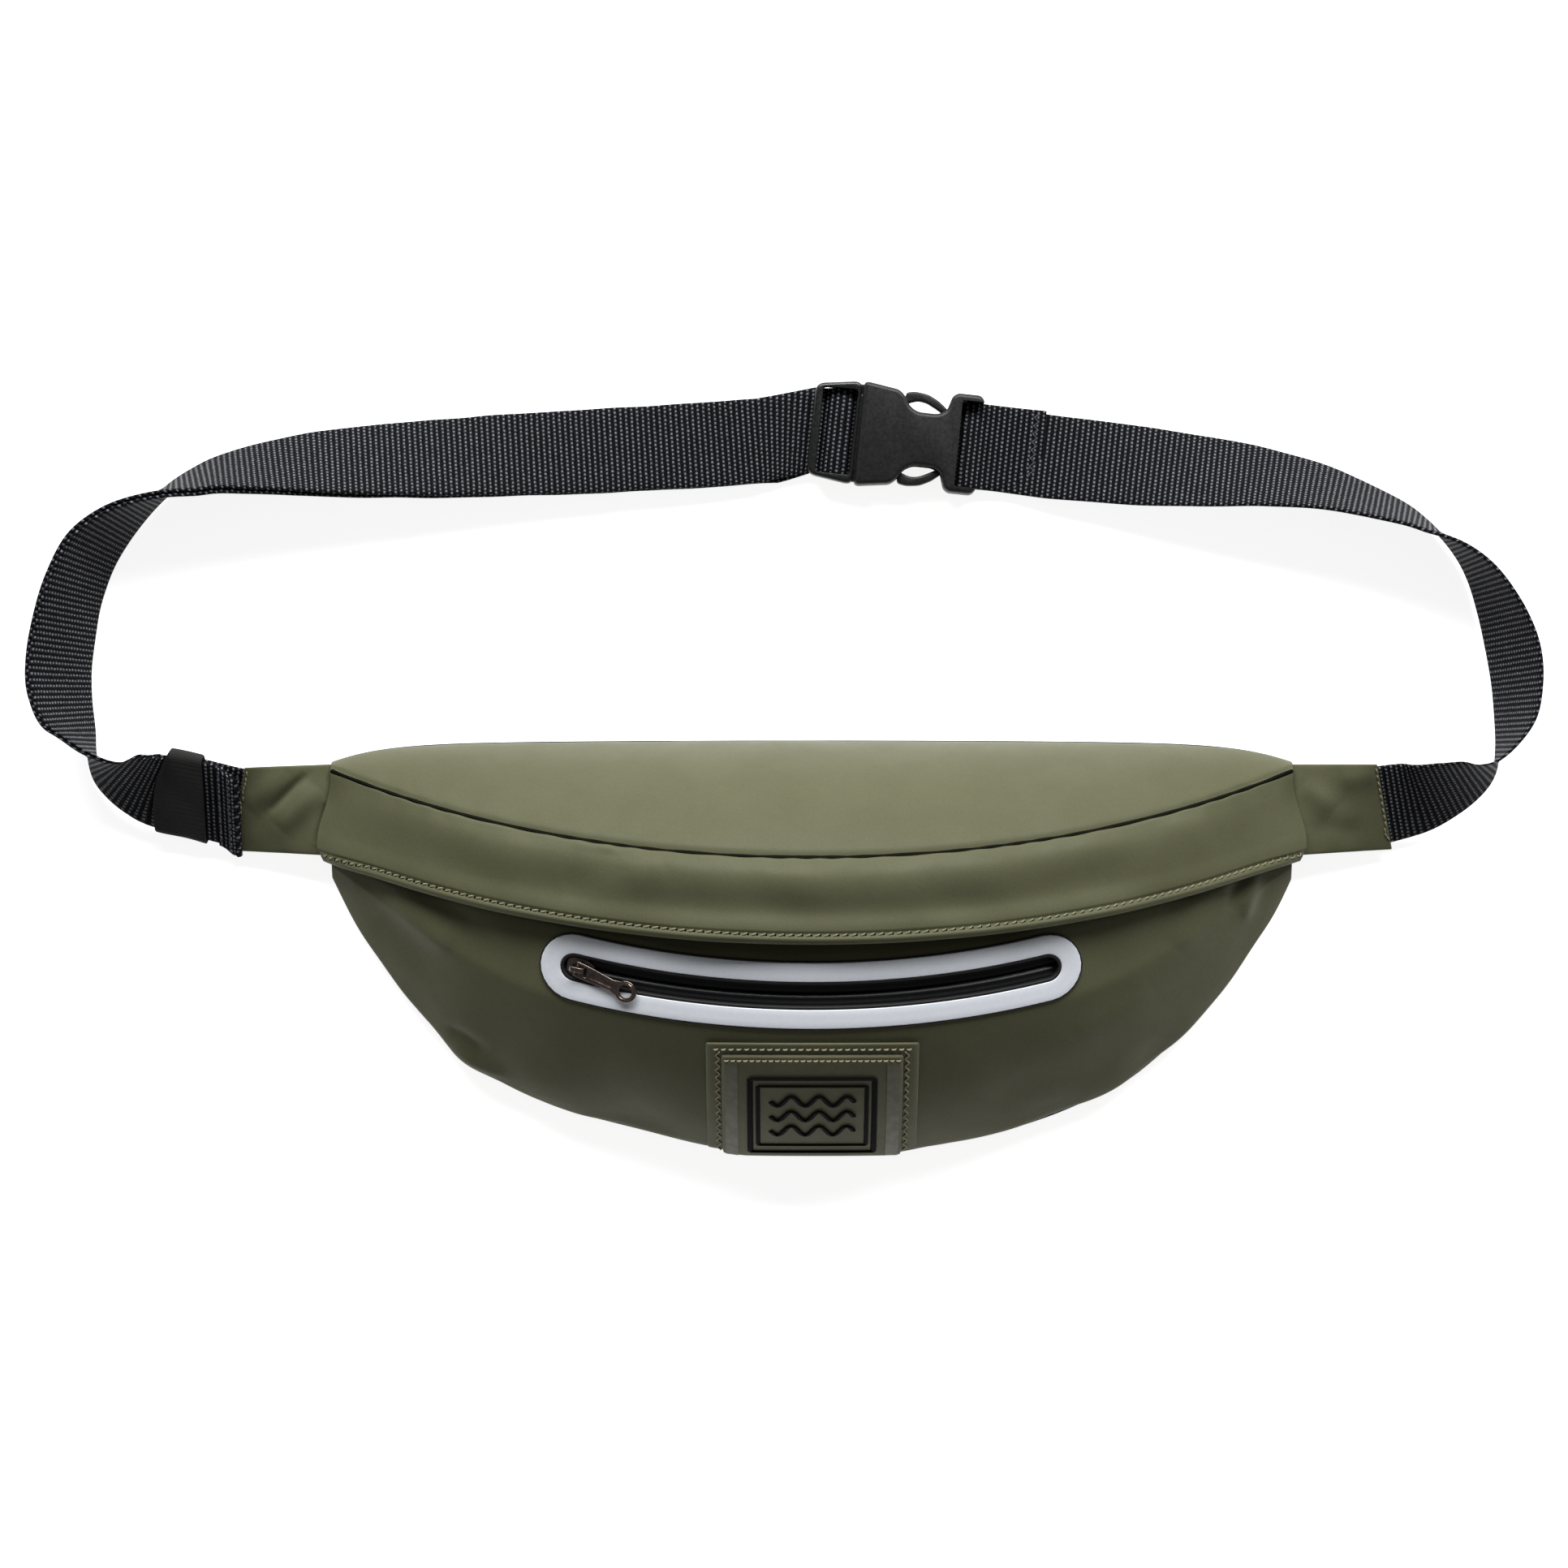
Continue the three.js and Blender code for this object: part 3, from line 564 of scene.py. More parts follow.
def coated_fabric(name, color, shade, gloss):
    """Fine plain weave under a thin rubbery coat, faintly mottled."""
    g = Graph(name)
    mottle = g.noise(55, 4, 0.6)
    grain = g.noise(2600, 1, 0.5)
    color = g.blend(g.between(mottle, 0.3, 0.7, 0.0, 1.0), color, shade)
    darker = g.add("HueSaturation", Color=color, Value=g.between(grain, 0.3, 0.7, 0.93, 1.05))
    height = g.plus(g.times(grain, 0.35), g.times(g.noise(420, 2), 0.65))
    g.bump(height, 0.09, 0.8)
    rough = g.between(mottle, 0.25, 0.75, gloss - 0.02, gloss + 0.03)
    return g.finish(darker.outputs[0], rough, Specular_IOR_Level=0.1)


def along_across(g):
    """Distances along and across a strip, in metres, from its mesh's own map."""
    split = g.add("SeparateXYZ", Vector=g.add("UVMap").outputs[0])
    return split.outputs[0], split.outputs[1]


def ribbed_webbing(name, dark, light, rib_mm, dash_mm):
    """Crosswise ribs, each a row of short floats: the floats light, partly their own yarn and partly painted
    highlight, and the grooves near-black as painted shade.
    """
    g = Graph(name)
    along, across = along_across(g)
    wobble = g.times(g.noise(700, 1), 0.0005)
    turns = g.times(g.plus(along, wobble), math.pi / (rib_mm * MM))
    wave = g.math("SINE", turns)
    rib = g.math("ABSOLUTE", wave)
    shift = g.times(g.math("SIGN", wave), math.pi / 2)
    beads = g.math("SINE", g.plus(g.times(across, 2 * math.pi / (dash_mm * MM)), shift))
    bead = g.between(beads, -0.45, 0.45, 0.0, 1.0)
    float_top = g.plus(g.times(bead, 0.95), 0.05)
    # lit is light on the floats and near-black in the grooves: painted highlight and painted shade, over the
    # yarn's own light floats.
    lit = g.times(g.between(rib, 0.72, 1.0, 0.0, 1.0), float_top)
    lit = g.times(lit, g.between(g.noise(900, 2), 0.25, 0.75, 0.55, 1.15))
    height = g.times(rib, g.plus(g.times(bead, 0.4), 0.6))
    g.bump(height, 0.5, 1.0)
    return g.finish(g.blend(lit, dark, light), g.between(rib, 0, 1, 0.9, 0.6), Specular_IOR_Level=0.12)


def fine_ribbed(name, dark, light, rib_mm, depth_mm, rough):
    """Fine ribs that run along a strip."""
    g = Graph(name)
    _, across = along_across(g)
    rib = g.math("ABSOLUTE", g.math("SINE", g.times(across, math.pi / (rib_mm * MM))))
    grain = g.noise(1800, 2)
    height = g.plus(g.times(rib, 0.7), g.times(grain, 0.5))
    g.bump(height, depth_mm, 0.9)
    color = g.blend(g.between(grain, 0.3, 0.7, 0, 1), dark, light)
    return g.finish(color, rough, Specular_IOR_Level=0.3)


def mottled(name, first, second, scale, rough, depth_mm=0.05, **fixed):
    """Two close tones and a fine grain, for mouldings, metal, foam and thread."""
    g = Graph(name)
    tone = g.noise(scale, 3, 0.6)
    g.bump(g.noise(scale * 6, 2), depth_mm, 0.6)
    spread = g.between(tone, 0.3, 0.7, rough - 0.05, rough + 0.07)
    return g.finish(g.blend(g.between(tone, 0.3, 0.7, 0, 1), first, second), spread, **fixed)


def mesh_backing(name, color, dark, cell_mm):
    """A knitted spacer face: small round holes in rows."""
    g = Graph(name)
    spots = g.add("TexVoronoi", {"feature": "F1"}, Vector=g.place, Scale=1 / (cell_mm * MM), Randomness=0.15)
    # The inside of each hole is painted near-black: painted shade in the holes.
    hole = g.between(spots.outputs["Distance"], 0.22, 0.42, 0.0, 1.0)
    g.bump(hole, 0.5, 0.9)
    return g.finish(g.blend(hole, dark, color), 0.85, Specular_IOR_Level=0.25)


OLIVE = ("coated_fabric", coated_fabric(
    "olive_fabric", (0.117, 0.118, 0.068), (0.109, 0.11, 0.062), 0.46))
OLIVE_DARK = ("coated_fabric_dark", coated_fabric(
    "inner_fabric", (0.05, 0.052, 0.032), (0.042, 0.044, 0.026), 0.6))
PATCH = ("patch_fabric", coated_fabric(
    "patch_fabric", (0.15, 0.15, 0.093), (0.13, 0.13, 0.08), 0.5))
LINING = ("lining", coated_fabric(
    "lining_fabric", (0.024, 0.025, 0.024), (0.019, 0.02, 0.019), 0.7))
BACKING = ("coated_fabric_dark", mesh_backing(
    "back_mesh", (0.03, 0.031, 0.028), (0.006, 0.006, 0.006), 3.2))
# Dark tone: painted shade in the grooves; light tone: the floats' own yarn with a painted highlight.
WEBBING = ("webbing", ribbed_webbing(
    "ribbed_webbing", (0.003, 0.0032, 0.0042), (0.19, 0.197, 0.225), 1.95, 1.45))
ELASTIC = ("elastic", fine_ribbed(
    "black_elastic", (0.0085, 0.0085, 0.008), (0.012, 0.012, 0.0115), 0.9, 0.12, 0.8))
SHEER_TAPE = ("zip_tape", fine_ribbed(
    "zip_tape", (0.012, 0.0125, 0.0135), (0.02, 0.021, 0.023), 2.4, 0.08, 0.34))
SATIN = ("patch_fabric", mottled(
    "patch_side_strip", (0.165, 0.165, 0.118), (0.13, 0.13, 0.09), 300, 0.42, Specular_IOR_Level=0.25))
FOAM = ("foam", mottled(
    "foam_cells", (0.045, 0.045, 0.043), (0.03, 0.03, 0.029), 500, 0.93, 0.4))
COIL = ("zip_coil", mottled(
    "zip_coil", (0.01, 0.01, 0.0105), (0.016, 0.016, 0.017), 900, 0.42))
# Near-black: the zip window's own black rim, and a painted shadow line round the reflective tape's outer
# edge.
BLACK_RIM_AND_SHADOW = ("zip_tape", mottled(
    "black_rim_and_painted_shadow", (0.006, 0.006, 0.006), (0.01, 0.01, 0.01), 900, 0.6))
# Near-white: the tape's own pale grey, brightened further to stand for the light its beads send back, a
# painted reflection.
REFLECTIVE = ("reflective_tape", mottled(
    "reflective_tape", (0.9, 0.94, 1.0), (0.86, 0.9, 0.97), 700, 0.42, 0.03, Specular_IOR_Level=0.6))
METAL = ("dark_metal", mottled(
    "antique_metal", (0.27, 0.215, 0.19), (0.14, 0.112, 0.1), 300, 0.25, 0.02, Metallic=0.95))
PLASTIC = ("buckle_plastic", mottled(
    "satin_plastic", (0.0095, 0.0095, 0.0095), (0.012, 0.012, 0.012), 900, 0.42, 0.03,
    Specular_IOR_Level=0.36))
GLOSSY = ("buckle_plastic", mottled(
    "glossier_plastic", (0.009, 0.009, 0.009), (0.011, 0.011, 0.011), 900, 0.28, 0.01,
    Specular_IOR_Level=0.5))
# Near-black painted shade, for the seam's fold and the needle holes.
SHADE = ("zip_tape", mottled(
    "seam_shade", (0.006, 0.006, 0.004), (0.009, 0.009, 0.006), 900, 0.9, Specular_IOR_Level=0.05))
TAN_THREAD = ("patch_fabric", mottled(
    "tan_thread", (0.4, 0.35, 0.23), (0.3, 0.26, 0.16), 1500, 0.6, 0.08))
OLIVE_THREAD = ("coated_fabric", mottled(
    "olive_thread", (0.27, 0.25, 0.155), (0.2, 0.185, 0.11), 1500, 0.6, 0.08))
GREY_THREAD = ("webbing", mottled(
    "grey_thread", (0.1, 0.103, 0.115), (0.045, 0.046, 0.052), 1500, 0.7, 0.08, Specular_IOR_Level=0.1))
BLACK_THREAD = ("webbing", mottled(
    "black_thread", (0.004, 0.004, 0.0042), (0.007, 0.007, 0.0075), 1500, 0.8, 0.08,
    Specular_IOR_Level=0.12))

# ---------------------------------------------------------------- shell
# Each dent or crease: its two ends in plan, its width and its height.
CROWN_DENTS = (
    ((-60, 52), (60, 55), 16, 0.5), ((-140, 62), (-95, 50), 9, -0.5), ((96, 52), (140, 62), 9, -0.5),
)
YOKE_DENTS = (
    ((-86, 26), (-64, 31), 7, -1.3), ((-62, 26), (-50, 30), 6, 0.7), ((-118, 34), (-98, 30), 8, 0.8),
    ((18, 17), (40, 22), 9, 0.6), ((74, 24), (96, 30), 7, -0.5), ((112, 32), (140, 40), 8, 0.9),
)
FRONT_CREASES = (
    ((-147, 21), (-124, 2), 5, 2.1), ((-152, 12), (-131, -8), 6, -1.3), ((-136, 24), (-108, 2), 5, -0.9),
    ((-127, -27), (-114, -36), 2.8, -2.5), ((-127, -32), (-108, -43), 3.3, 2.3),
    ((-110, -36), (-84, -52), 8, 1.0),
    ((154.5, 27), (151, 12), 2.6, 2.0), ((148.5, 27), (145, 14), 2.8, -1.4), ((126, 2), (138, 22), 6, 1.2),
    ((92, -30), (118, -12), 8, 1.0), ((60, -52), (96, -40), 8, -0.9), ((-70, -56), (-46, -62), 7, -0.9),
)


def seam_dip(distance, depth=1.3, reach=1.5):
    """How far fabric turns down towards a seam this many millimetres away."""
    return -depth * np.exp(-((distance / reach) ** 2))


def puckers(points, distance, size=0.3):
    """Small gathers beside a seam."""
    wave = np.sin(points[..., 0] * 0.52 + 2.2 * np.sin(points[..., 0] * 0.09))
    return size * wave * np.exp(-((distance / 5.0) ** 2))


def shell_skin(name, outer, nodes):
    make_piece(name, thick_sheet(outer, lifted(outer, -FABRIC)), OLIVE, nodes=nodes)


def add_top_panel():
    x, t = stations(300), np.linspace(0, 1, steps(70))[None, :]
    outer = softened(top_section(x, t), 12)
    to_seam = far_along(outer)[:, -1:] - far_along(outer)
    height = seam_dip(to_seam, 0.9, 1.1) + puckers(outer, to_seam, 0.12) + relief(outer, CROWN_DENTS)
    height = height + 0.22 * ripple(outer, 34, 3) * smooth(0, 0.3, t) * roundness(x)
    shell_skin("top_panel_fabric", lifted(outer, height * smooth(0.0, 0.2, t)), ["top_panel"])


def flap_surface(x, t):
    """The yoke with its roll under the seam and its sewn hem, before the folds."""
    outer = flap_section(x, t)
    from_seam = far_along(outer)
    to_edge = from_seam[:, -1:] - from_seam
    wide = np.maximum(from_seam[:, -1:], 1)
    roll = 1.7 * np.exp(-(((from_seam - 7.5) / 6) ** 2)) * roundness(x) ** 0.5
    hollow = -1.5 * np.exp(-(((from_seam / wide - 0.64) / 0.18) ** 2)) * roundness(x) ** 2
    hem = hump(to_edge, 1.2, 1.1, 0.8) + 0.35 * smooth(11, 5, to_edge)
    groove = hump(to_edge, STITCH_LINE, 0.6, -0.55)
    height = roll + hollow + hem + groove + seam_dip(from_seam, 0.9, 1.1)
    folds = relief(outer, YOKE_DENTS) * smooth(0, 5, from_seam) * smooth(1, 7, to_edge)
    edge_wave = 0.55 * ripple(outer, 60, 9) * smooth(16, 0, to_edge)
    uneven = 0.25 * ripple(outer, 26, 5) * smooth(0, 8, from_seam)
    outer = lifted(outer, height + folds + edge_wave + uneven + puckers(outer, from_seam, 0.14))
    return outer + end_lobe(x, t)


def end_lobe(x, t):
    """The yoke's lower corners swell out past the bag's ends and turn down over the wings."""
    near_end = smooth(140, BAG_END, np.abs(x))
    swell = near_end**2 * smooth(0.15, 0.8, t) * (1 - 0.45 * smooth(0.86, 1.0, t))
    drop = smooth(158, BAG_END, np.abs(x)) ** 2 * smooth(0.05, 0.4, t)
    return vec(np.sign(x) * LOBE * swell, 0, -1.3 * drop)


def add_storm_flap():
    x, t = stations(340), np.linspace(0, 1, steps(84))[None, :]
    shell_skin("storm_flap_fabric", flap_surface(x, t), ["storm_flap"])
    x = np.linspace(-BAG_END + 2, BAG_END - 2, 400)[:, None]
    t = np.linspace(0, 1, 120)[None, :]
    surface = flap_surface(x, t)
    to_edge = far_along(surface)[:, -1:] - far_along(surface)
    columns = np.argmin(np.abs(to_edge - STITCH_LINE), axis=1)
    path = surface[np.arange(len(surface)), columns]
    shape = stitch_row(path, outward(path), pitch=3.05, length=2.3, slant=0.35, radius=0.38)
    make_piece("flap_topstitch", shape, OLIVE_THREAD)
    # Near-black dots sunk at each stitch's ends: painted shade in the needle holes.
    points, faces = stitch_row(path[4:], outward(path[4:]), pitch=3.05, length=0.9, slant=0.2, radius=0.42)
    make_piece("flap_needle_hole_shade", (lifted(points, -0.18), faces), SHADE)


def add_seam_shade():
    """A near-black strip sunk in the seam between the top panel and the yoke: painted shade in the fold."""
    x = np.linspace(-BAG_END + 0.5, BAG_END - 0.5, steps(240))
    path = lifted(SEAM_LINE.at(x), -1.0)
    section = rounded_box_section(0.68, -0.8, 0.5, 0.35, 2)
    make_piece("seam_painted_shade", tube(band(path, outward(path), section)), SHADE)


def front_surface(x, line):
    """The front panel with its creases, which leave the pocket's band flat."""
    outer = softened(front_section(x, line), 8)
    flat_band = np.maximum(smooth(3.0, 3.25, line) + smooth(1.0, 0.75, line), smooth(98, 122, np.abs(x)))
    height = relief(outer, FRONT_CREASES) + 0.35 * ripple(outer, 42, 11) * roundness(x) ** 0.5
    to_back = far_along(outer)[:, -1:] - far_along(outer)
    low = 0.7 * ripple(outer, 30, 17) * smooth(22, 8, to_back) * smooth(0, 5, to_back)
    return lifted(outer, height * flat_band * smooth(0, 12, to_back) + low)


def front_lines():
    """Mesh lines down the front, close together where it bends."""
    return np.concatenate([np.linspace(0, 1, steps(16)), np.linspace(1, 3, steps(36))[1:],
                           np.linspace(3, 4, steps(76))[1:], np.linspace(4, 5, steps(10))[1:]])[None, :]


def window_distance(x, v):
    """How far a place on the pocket band is from the window's middle line."""
    beyond = np.maximum(np.abs(x - WINDOW_MIDDLE) - WINDOW_STRAIGHT, 0)
    return np.hypot(beyond, v)


def add_front_panel():
    x, line = stations(330), front_lines()
    outer = front_surface(x, line)
    middle = (outer[1:, 1:] + outer[:-1, :-1]) / 2
    centre = POCKET_ZIP.at(middle[..., 0])
    reach = np.linalg.norm(middle - centre, axis=-1)
    keep = window_distance(middle[..., 0], reach) > WINDOW_HALF + 1.6
    shape = holed_sheet(outer, lifted(outer, -FABRIC), keep)
    make_piece("front_panel_fabric", shape, OLIVE, nodes=["front_panel"])


def add_back_panel():
    x = stations(120)
    share = np.linspace(0, 1, steps(60))[None, :]
    y = (bottom_edge(x) + 0.6) * (1 - share) + (top_edge(x) - 0.6) * share
    shape = thick_sheet(vec(x, y, BACK_THICK), vec(x, y, 0.02))
    make_piece("back_panel_mesh", shape, BACKING, nodes=["back_panel"])
    x = stations(90, 0.9)
    y = (bottom_edge(x) + 9) * (1 - share) + (top_edge(x) - 9) * share
    shape = thick_sheet(vec(x, y, 6.5), vec(x, y, BACK_THICK + 0.4))
    make_piece("back_foam", shape, FOAM, nodes=["back_foam_pad"])


def add_linings():
    """The zip facing, which closes the opening past the zip's ends, and the pocket's lining."""
    x, t = stations(120), np.linspace(0, 1, steps(16))[None, :]
    above = lifted(SEAM_LINE.at(x, -0.4), -FABRIC - 0.6)
    past_zip = smooth(MAIN_ZIP_END + 7, MAIN_ZIP_END + 13, np.abs(x))
    below = MAIN_ZIP.at(x, ZIP_TAPE_HALF + 0.9 - 19 * past_zip, -1.6 * past_zip)
    facing = mixed(above, below, t)
    shape = thick_sheet(facing, facing - np.array([0, 0, FABRIC]))
    make_piece("zip_facing_fabric", shape, OLIVE_DARK, nodes=["zip_facing"])
    x = np.linspace(-105, 105, steps(80))[:, None]
    outer = lifted(front_section(x, np.linspace(1.1, 3.75, steps(60))[None, :]), -POCKET_DEPTH)
    shape = thick_sheet(softened(outer, 8), lifted(softened(outer, 8), -0.9))
    make_piece("pocket_lining_fabric", shape, LINING, nodes=["pocket_lining"])


# ---------------------------------------------------------------- pocket window and zips
def stadium(reach, straight_steps=60, turn_steps=14):
    """(along, up) round the window at this distance from its middle line."""
    run = np.linspace(-WINDOW_STRAIGHT, WINDOW_STRAIGHT, straight_steps)
    turn = np.linspace(0, math.pi, turn_steps)[1:-1]
    top = np.stack([run, np.full_like(run, reach)], 1)
    right = np.stack([WINDOW_STRAIGHT + reach * np.sin(turn), reach * np.cos(turn)], 1)
    loop = np.concatenate([top, right, -top, -right])
    return loop + np.array([WINDOW_MIDDLE, 0])


def wrapped(loops):
    """Points and faces of a closed section carried round a closed path."""
    rows, columns = loops.shape[:2]
    faces = grid_faces(rows + 1, columns, wrap=True) % (rows * columns)
    return loops.reshape(-1, 3), faces.tolist()


def window_ring(name, look, low_reach, high_reach, low, high, radius, nodes=()):
    section = rounded_box_section((high_reach - low_reach) / 2, low, high, radius, 3, 3)
    loops = []
    for across, height in section:
        spots = stadium((low_reach + high_reach) / 2 + across)
        loops.append(POCKET_ZIP.along(spots[:, 0], spots[:, 1], height))
    make_piece(name, wrapped(np.stack(loops, 1)), look, nodes=nodes)


def add_reflective_frame():
    outer = WINDOW_HALF + TAPE_FRAME
    inner = WINDOW_HALF + 0.35
    window_ring("reflective_tape", REFLECTIVE, inner, outer, 0.15, 0.9, 0.3, ["reflective_frame"])
    # A thin near-black ring round the tape's outer edge: painted shadow.
    window_ring("tape_outer_painted_shadow", BLACK_RIM_AND_SHADOW, outer - 0.1, outer + 0.6, -0.4, 0.62, 0.2)
    window_ring("tape_inner_edge", BLACK_RIM_AND_SHADOW, WINDOW_HALF - 0.75, WINDOW_HALF + 0.5, -1.7, 0.72, 0.4)


def tape_height(v):
    """Raised beads beside the slit and a faint rib half way out."""
    v = np.abs(v)
    lip = 0.42 * np.exp(-(((v - 1.35) / 0.75) ** 2)) - 0.5 * np.exp(-((v / 0.7) ** 2))
    return lip + 0.16 * np.exp(-(((v - 3.4) / 0.5) ** 2))


def add_tapes(name, arc, from_x, to_x, top):
    x = np.linspace(from_x - 7, to_x + 7, steps(150))[:, None]
    for place, side in ZIP_SIDES:
        v = side * np.linspace(0.45, ZIP_TAPE_HALF - 0.3, steps(34))[None, :]
        outer = arc.along(x, v, top + tape_height(v))
        inner = arc.along(x, v, top - 0.8)
        shape = thick_sheet(outer, inner)
        along = shape[0][:, 0]
        flat = np.stack([along, np.linalg.norm(shape[0] - arc.at(along), axis=1)], 1)
        make_piece(f"{name}_tape_{place}_weave", shape, SHEER_TAPE, nodes=[f"{name}_tape_{place}"], uv=flat)


def add_coils(name, arc, from_x, to_x, top):
    count = steps(int((to_x - from_x) / 0.36))
    x = np.linspace(from_x, to_x, count)
    tooth = 0.5 + 0.5 * np.cos(x * 2 * math.pi / 1.45)
    turns = full_turn(10)
    for place, side in ZIP_SIDES:
        v = side * (1.75 + 0.62 * np.cos(turns)[None, :] * (0.72 + 0.28 * tooth[:, None]))
        n = top - 1.9 + 0.72 * np.sin(turns)[None, :] * (0.75 + 0.25 * tooth[:, None])
        shape = tube(arc.along(x[:, None], v, n))
        make_piece(f"{name}_coil_{place}_teeth", shape, COIL, nodes=[f"{name}_coil_{place}"])


def add_stops(name, arc, from_x, to_x, top):
    for place, low, high in (("left", from_x - 3.3, from_x - 0.4), ("right", to_x + 0.4, to_x + 3.3)):
        x = np.linspace(low, high, 9)
        size = np.sqrt(np.clip(1 - ((x - (low + high) / 2) / 1.6) ** 2, 0.1, 1))
        section = rounded_box_section(2.5, -0.75, 0.75, 0.35, 3)
        loops = arc.along(x[:, None], section[None, :, 0] * size[:, None],
                          top - 1.9 + section[None, :, 1] * size[:, None])
        make_piece(f"{name}_stop_{place}_metal", tube(loops), METAL, nodes=[f"{name}_stop_{place}"])


# ---------------------------------------------------------------- moulded and cast pieces
def rounded_outline(corners, radius, count=5):
    """A closed outline with each corner replaced by a curve of about this radius."""
    corners = np.array(corners, float)
    before, after = np.roll(corners, 1, 0), np.roll(corners, -1, 0)
    spots = []
    for a, b, c in zip(before, corners, after):
        reach = min(radius, 0.45 * np.linalg.norm(a - b), 0.45 * np.linalg.norm(c - b))
        start, end = b + unit(a - b) * reach, b + unit(c - b) * reach
        for t in np.linspace(0, 1, count):
            spots.append((1 - t) ** 2 * start + 2 * t * (1 - t) * b + t * t * end)
    return np.array(spots)


def inset(outline, depth):
    """The outline moved inwards, along its own bisectors."""
    run = unit(np.roll(outline, -1, 0) - outline)
    normal = np.stack([-run[:, 1], run[:, 0]], 1)
    before = np.roll(normal, 1, 0)
    bisector = unit(normal + before)
    share = np.maximum((bisector * normal).sum(1), 0.5)
    return outline + bisector * (depth / share)[:, None]


def rounded_prism(outline, low, high, edge=0.5, count=4):
    """An upright slab with rounded rims, as points and faces."""
    outline = np.array(outline, float)
    x, y = outline.T
    if (x * np.roll(y, -1) - np.roll(x, -1) * y).sum() < 0:
        outline = outline[::-1]
    edge = min(edge, 0.48 * (high - low))
    loops = []
    for t in np.linspace(0, math.pi / 2, count):
        ring = inset(outline, edge * (1 - math.sin(t)))
        loops.append(np.column_stack([ring, np.full(len(ring), low + edge * (1 - math.cos(t)))]))
    for lower in loops[::-1]:
        upper = lower.copy()
        upper[:, 2] = high - (lower[:, 2] - low)
        loops.append(upper)
    return tube(np.array(loops))


def block(low, high, edge=0.2):
    """A box with rounded upright corners and rims."""
    corners = [(low[0], low[1]), (high[0], low[1]), (high[0], high[1]), (low[0], high[1])]
    return rounded_prism(rounded_outline(corners, 2.2 * edge, 4), low[2], high[2], edge)


def carved(solids, cuts, bevel=0.0):
    """One body from the solids joined, less the cuts, with its cut edges rounded."""
    base = new_object("base", solids[0])
    tools = [("UNION", new_object("added", solid)) for solid in solids[1:]]
    tools += [("DIFFERENCE", new_object("removed", cut)) for cut in cuts]
    for operation, tool in tools:
        step = base.modifiers.new(operation, "BOOLEAN")
        step.operation = operation
        step.solver = "EXACT"
        step.object = tool
    if bevel:
        step = base.modifiers.new("edges", "BEVEL")
        step.width = bevel
        step.segments = 2
        step.limit_method = "ANGLE"
        step.angle_limit = math.radians(40)
    bpy.context.view_layer.update()
    made = bpy.data.meshes.new_from_object(base.evaluated_get(bpy.context.evaluated_depsgraph_get()))
    points = np.array([vertex.co for vertex in made.vertices])
    faces = [list(polygon.vertices) for polygon in made.polygons]
    for piece in [base] + [tool for _, tool in tools]:
        bpy.data.objects.remove(piece)
    bpy.data.meshes.remove(made)
    return points, faces


def sharp_at(piece, degrees=38):
    """Shades a moulding smooth but for its sharp edges."""
    limit = math.cos(math.radians(degrees))
    mesh = piece.data
    normals = {}
    for polygon in mesh.polygons:
        for key in polygon.edge_keys:
            normals.setdefault(key, []).append(polygon.normal)
    for edge in mesh.edges:
        sides = normals.get(tuple(sorted(edge.vertices)), [])
        edge.use_edge_sharp = len(sides) == 2 and sides[0].dot(sides[1]) < limit
    return piece


def drawn_at(shape, axes):
    """The shape in axes of its own: origin, along, up and out."""
    (points, faces), (origin, along, up, out) = shape, axes
    return origin + points[:, :1] * along + points[:, 1:2] * up + points[:, 2:] * out, faces


def slider_parts(top):
    """Shield, lower plate, post, side rails and the arch that holds the puller."""
    half, wide = 5.2, 3.5
    shield = [(-half, -wide + 1.1), (-half + 2.2, -wide), (half - 3.4, -wide), (half, -wide + 2.1),
              (half, wide - 2.1), (half - 3.4, wide), (-half + 2.2, wide), (-half, wide - 1.1)]
    outline = rounded_outline(shield, 1.6)
    plate_top = top + 1.5
    turn = np.linspace(0, math.pi / 2, 6)
    left = np.stack([-1.7 - 1.25 * np.sin(turn[::-1]), 2.0 + 1.2 * np.cos(turn[::-1])], 1)
    right = np.stack([0.7 + 1.25 * np.sin(turn), 2.0 + 1.2 * np.cos(turn)], 1)
    arch = np.concatenate([[(-2.95, -0.5), (-2.95, 1.0)], left, right, [(1.95, 1.0), (1.95, -0.5)]])
    path = np.column_stack([arch[:, 0], np.zeros(len(arch)), arch[:, 1] + plate_top])
    section = rounded_box_section(0.9, -0.48, 0.48, 0.3, 3)
    run = unit(np.gradient(path, axis=0))
    normals = np.cross(run, np.array([0, 1.0, 0]))
    rail = [rounded_prism(rounded_outline([(-4.4, side * 3.5), (-4.4, side * 2.9), (2.4, side * 2.9),
                                           (2.4, side * 3.5)], 0.2, 3), top - 0.6, top + 1.0, 0.2)
            for side in (1, -1)]
    return joined([
        rounded_prism(outline, top + 0.3, plate_top, 0.55),
        rounded_prism(outline, top - 4.2, top - 3.1, 0.45),
        block((-1.2, -0.42, top - 3.5), (2.6, 0.42, top + 0.8), 0.15),
        tube(band(path, normals, section)),
        *rail,
    ])


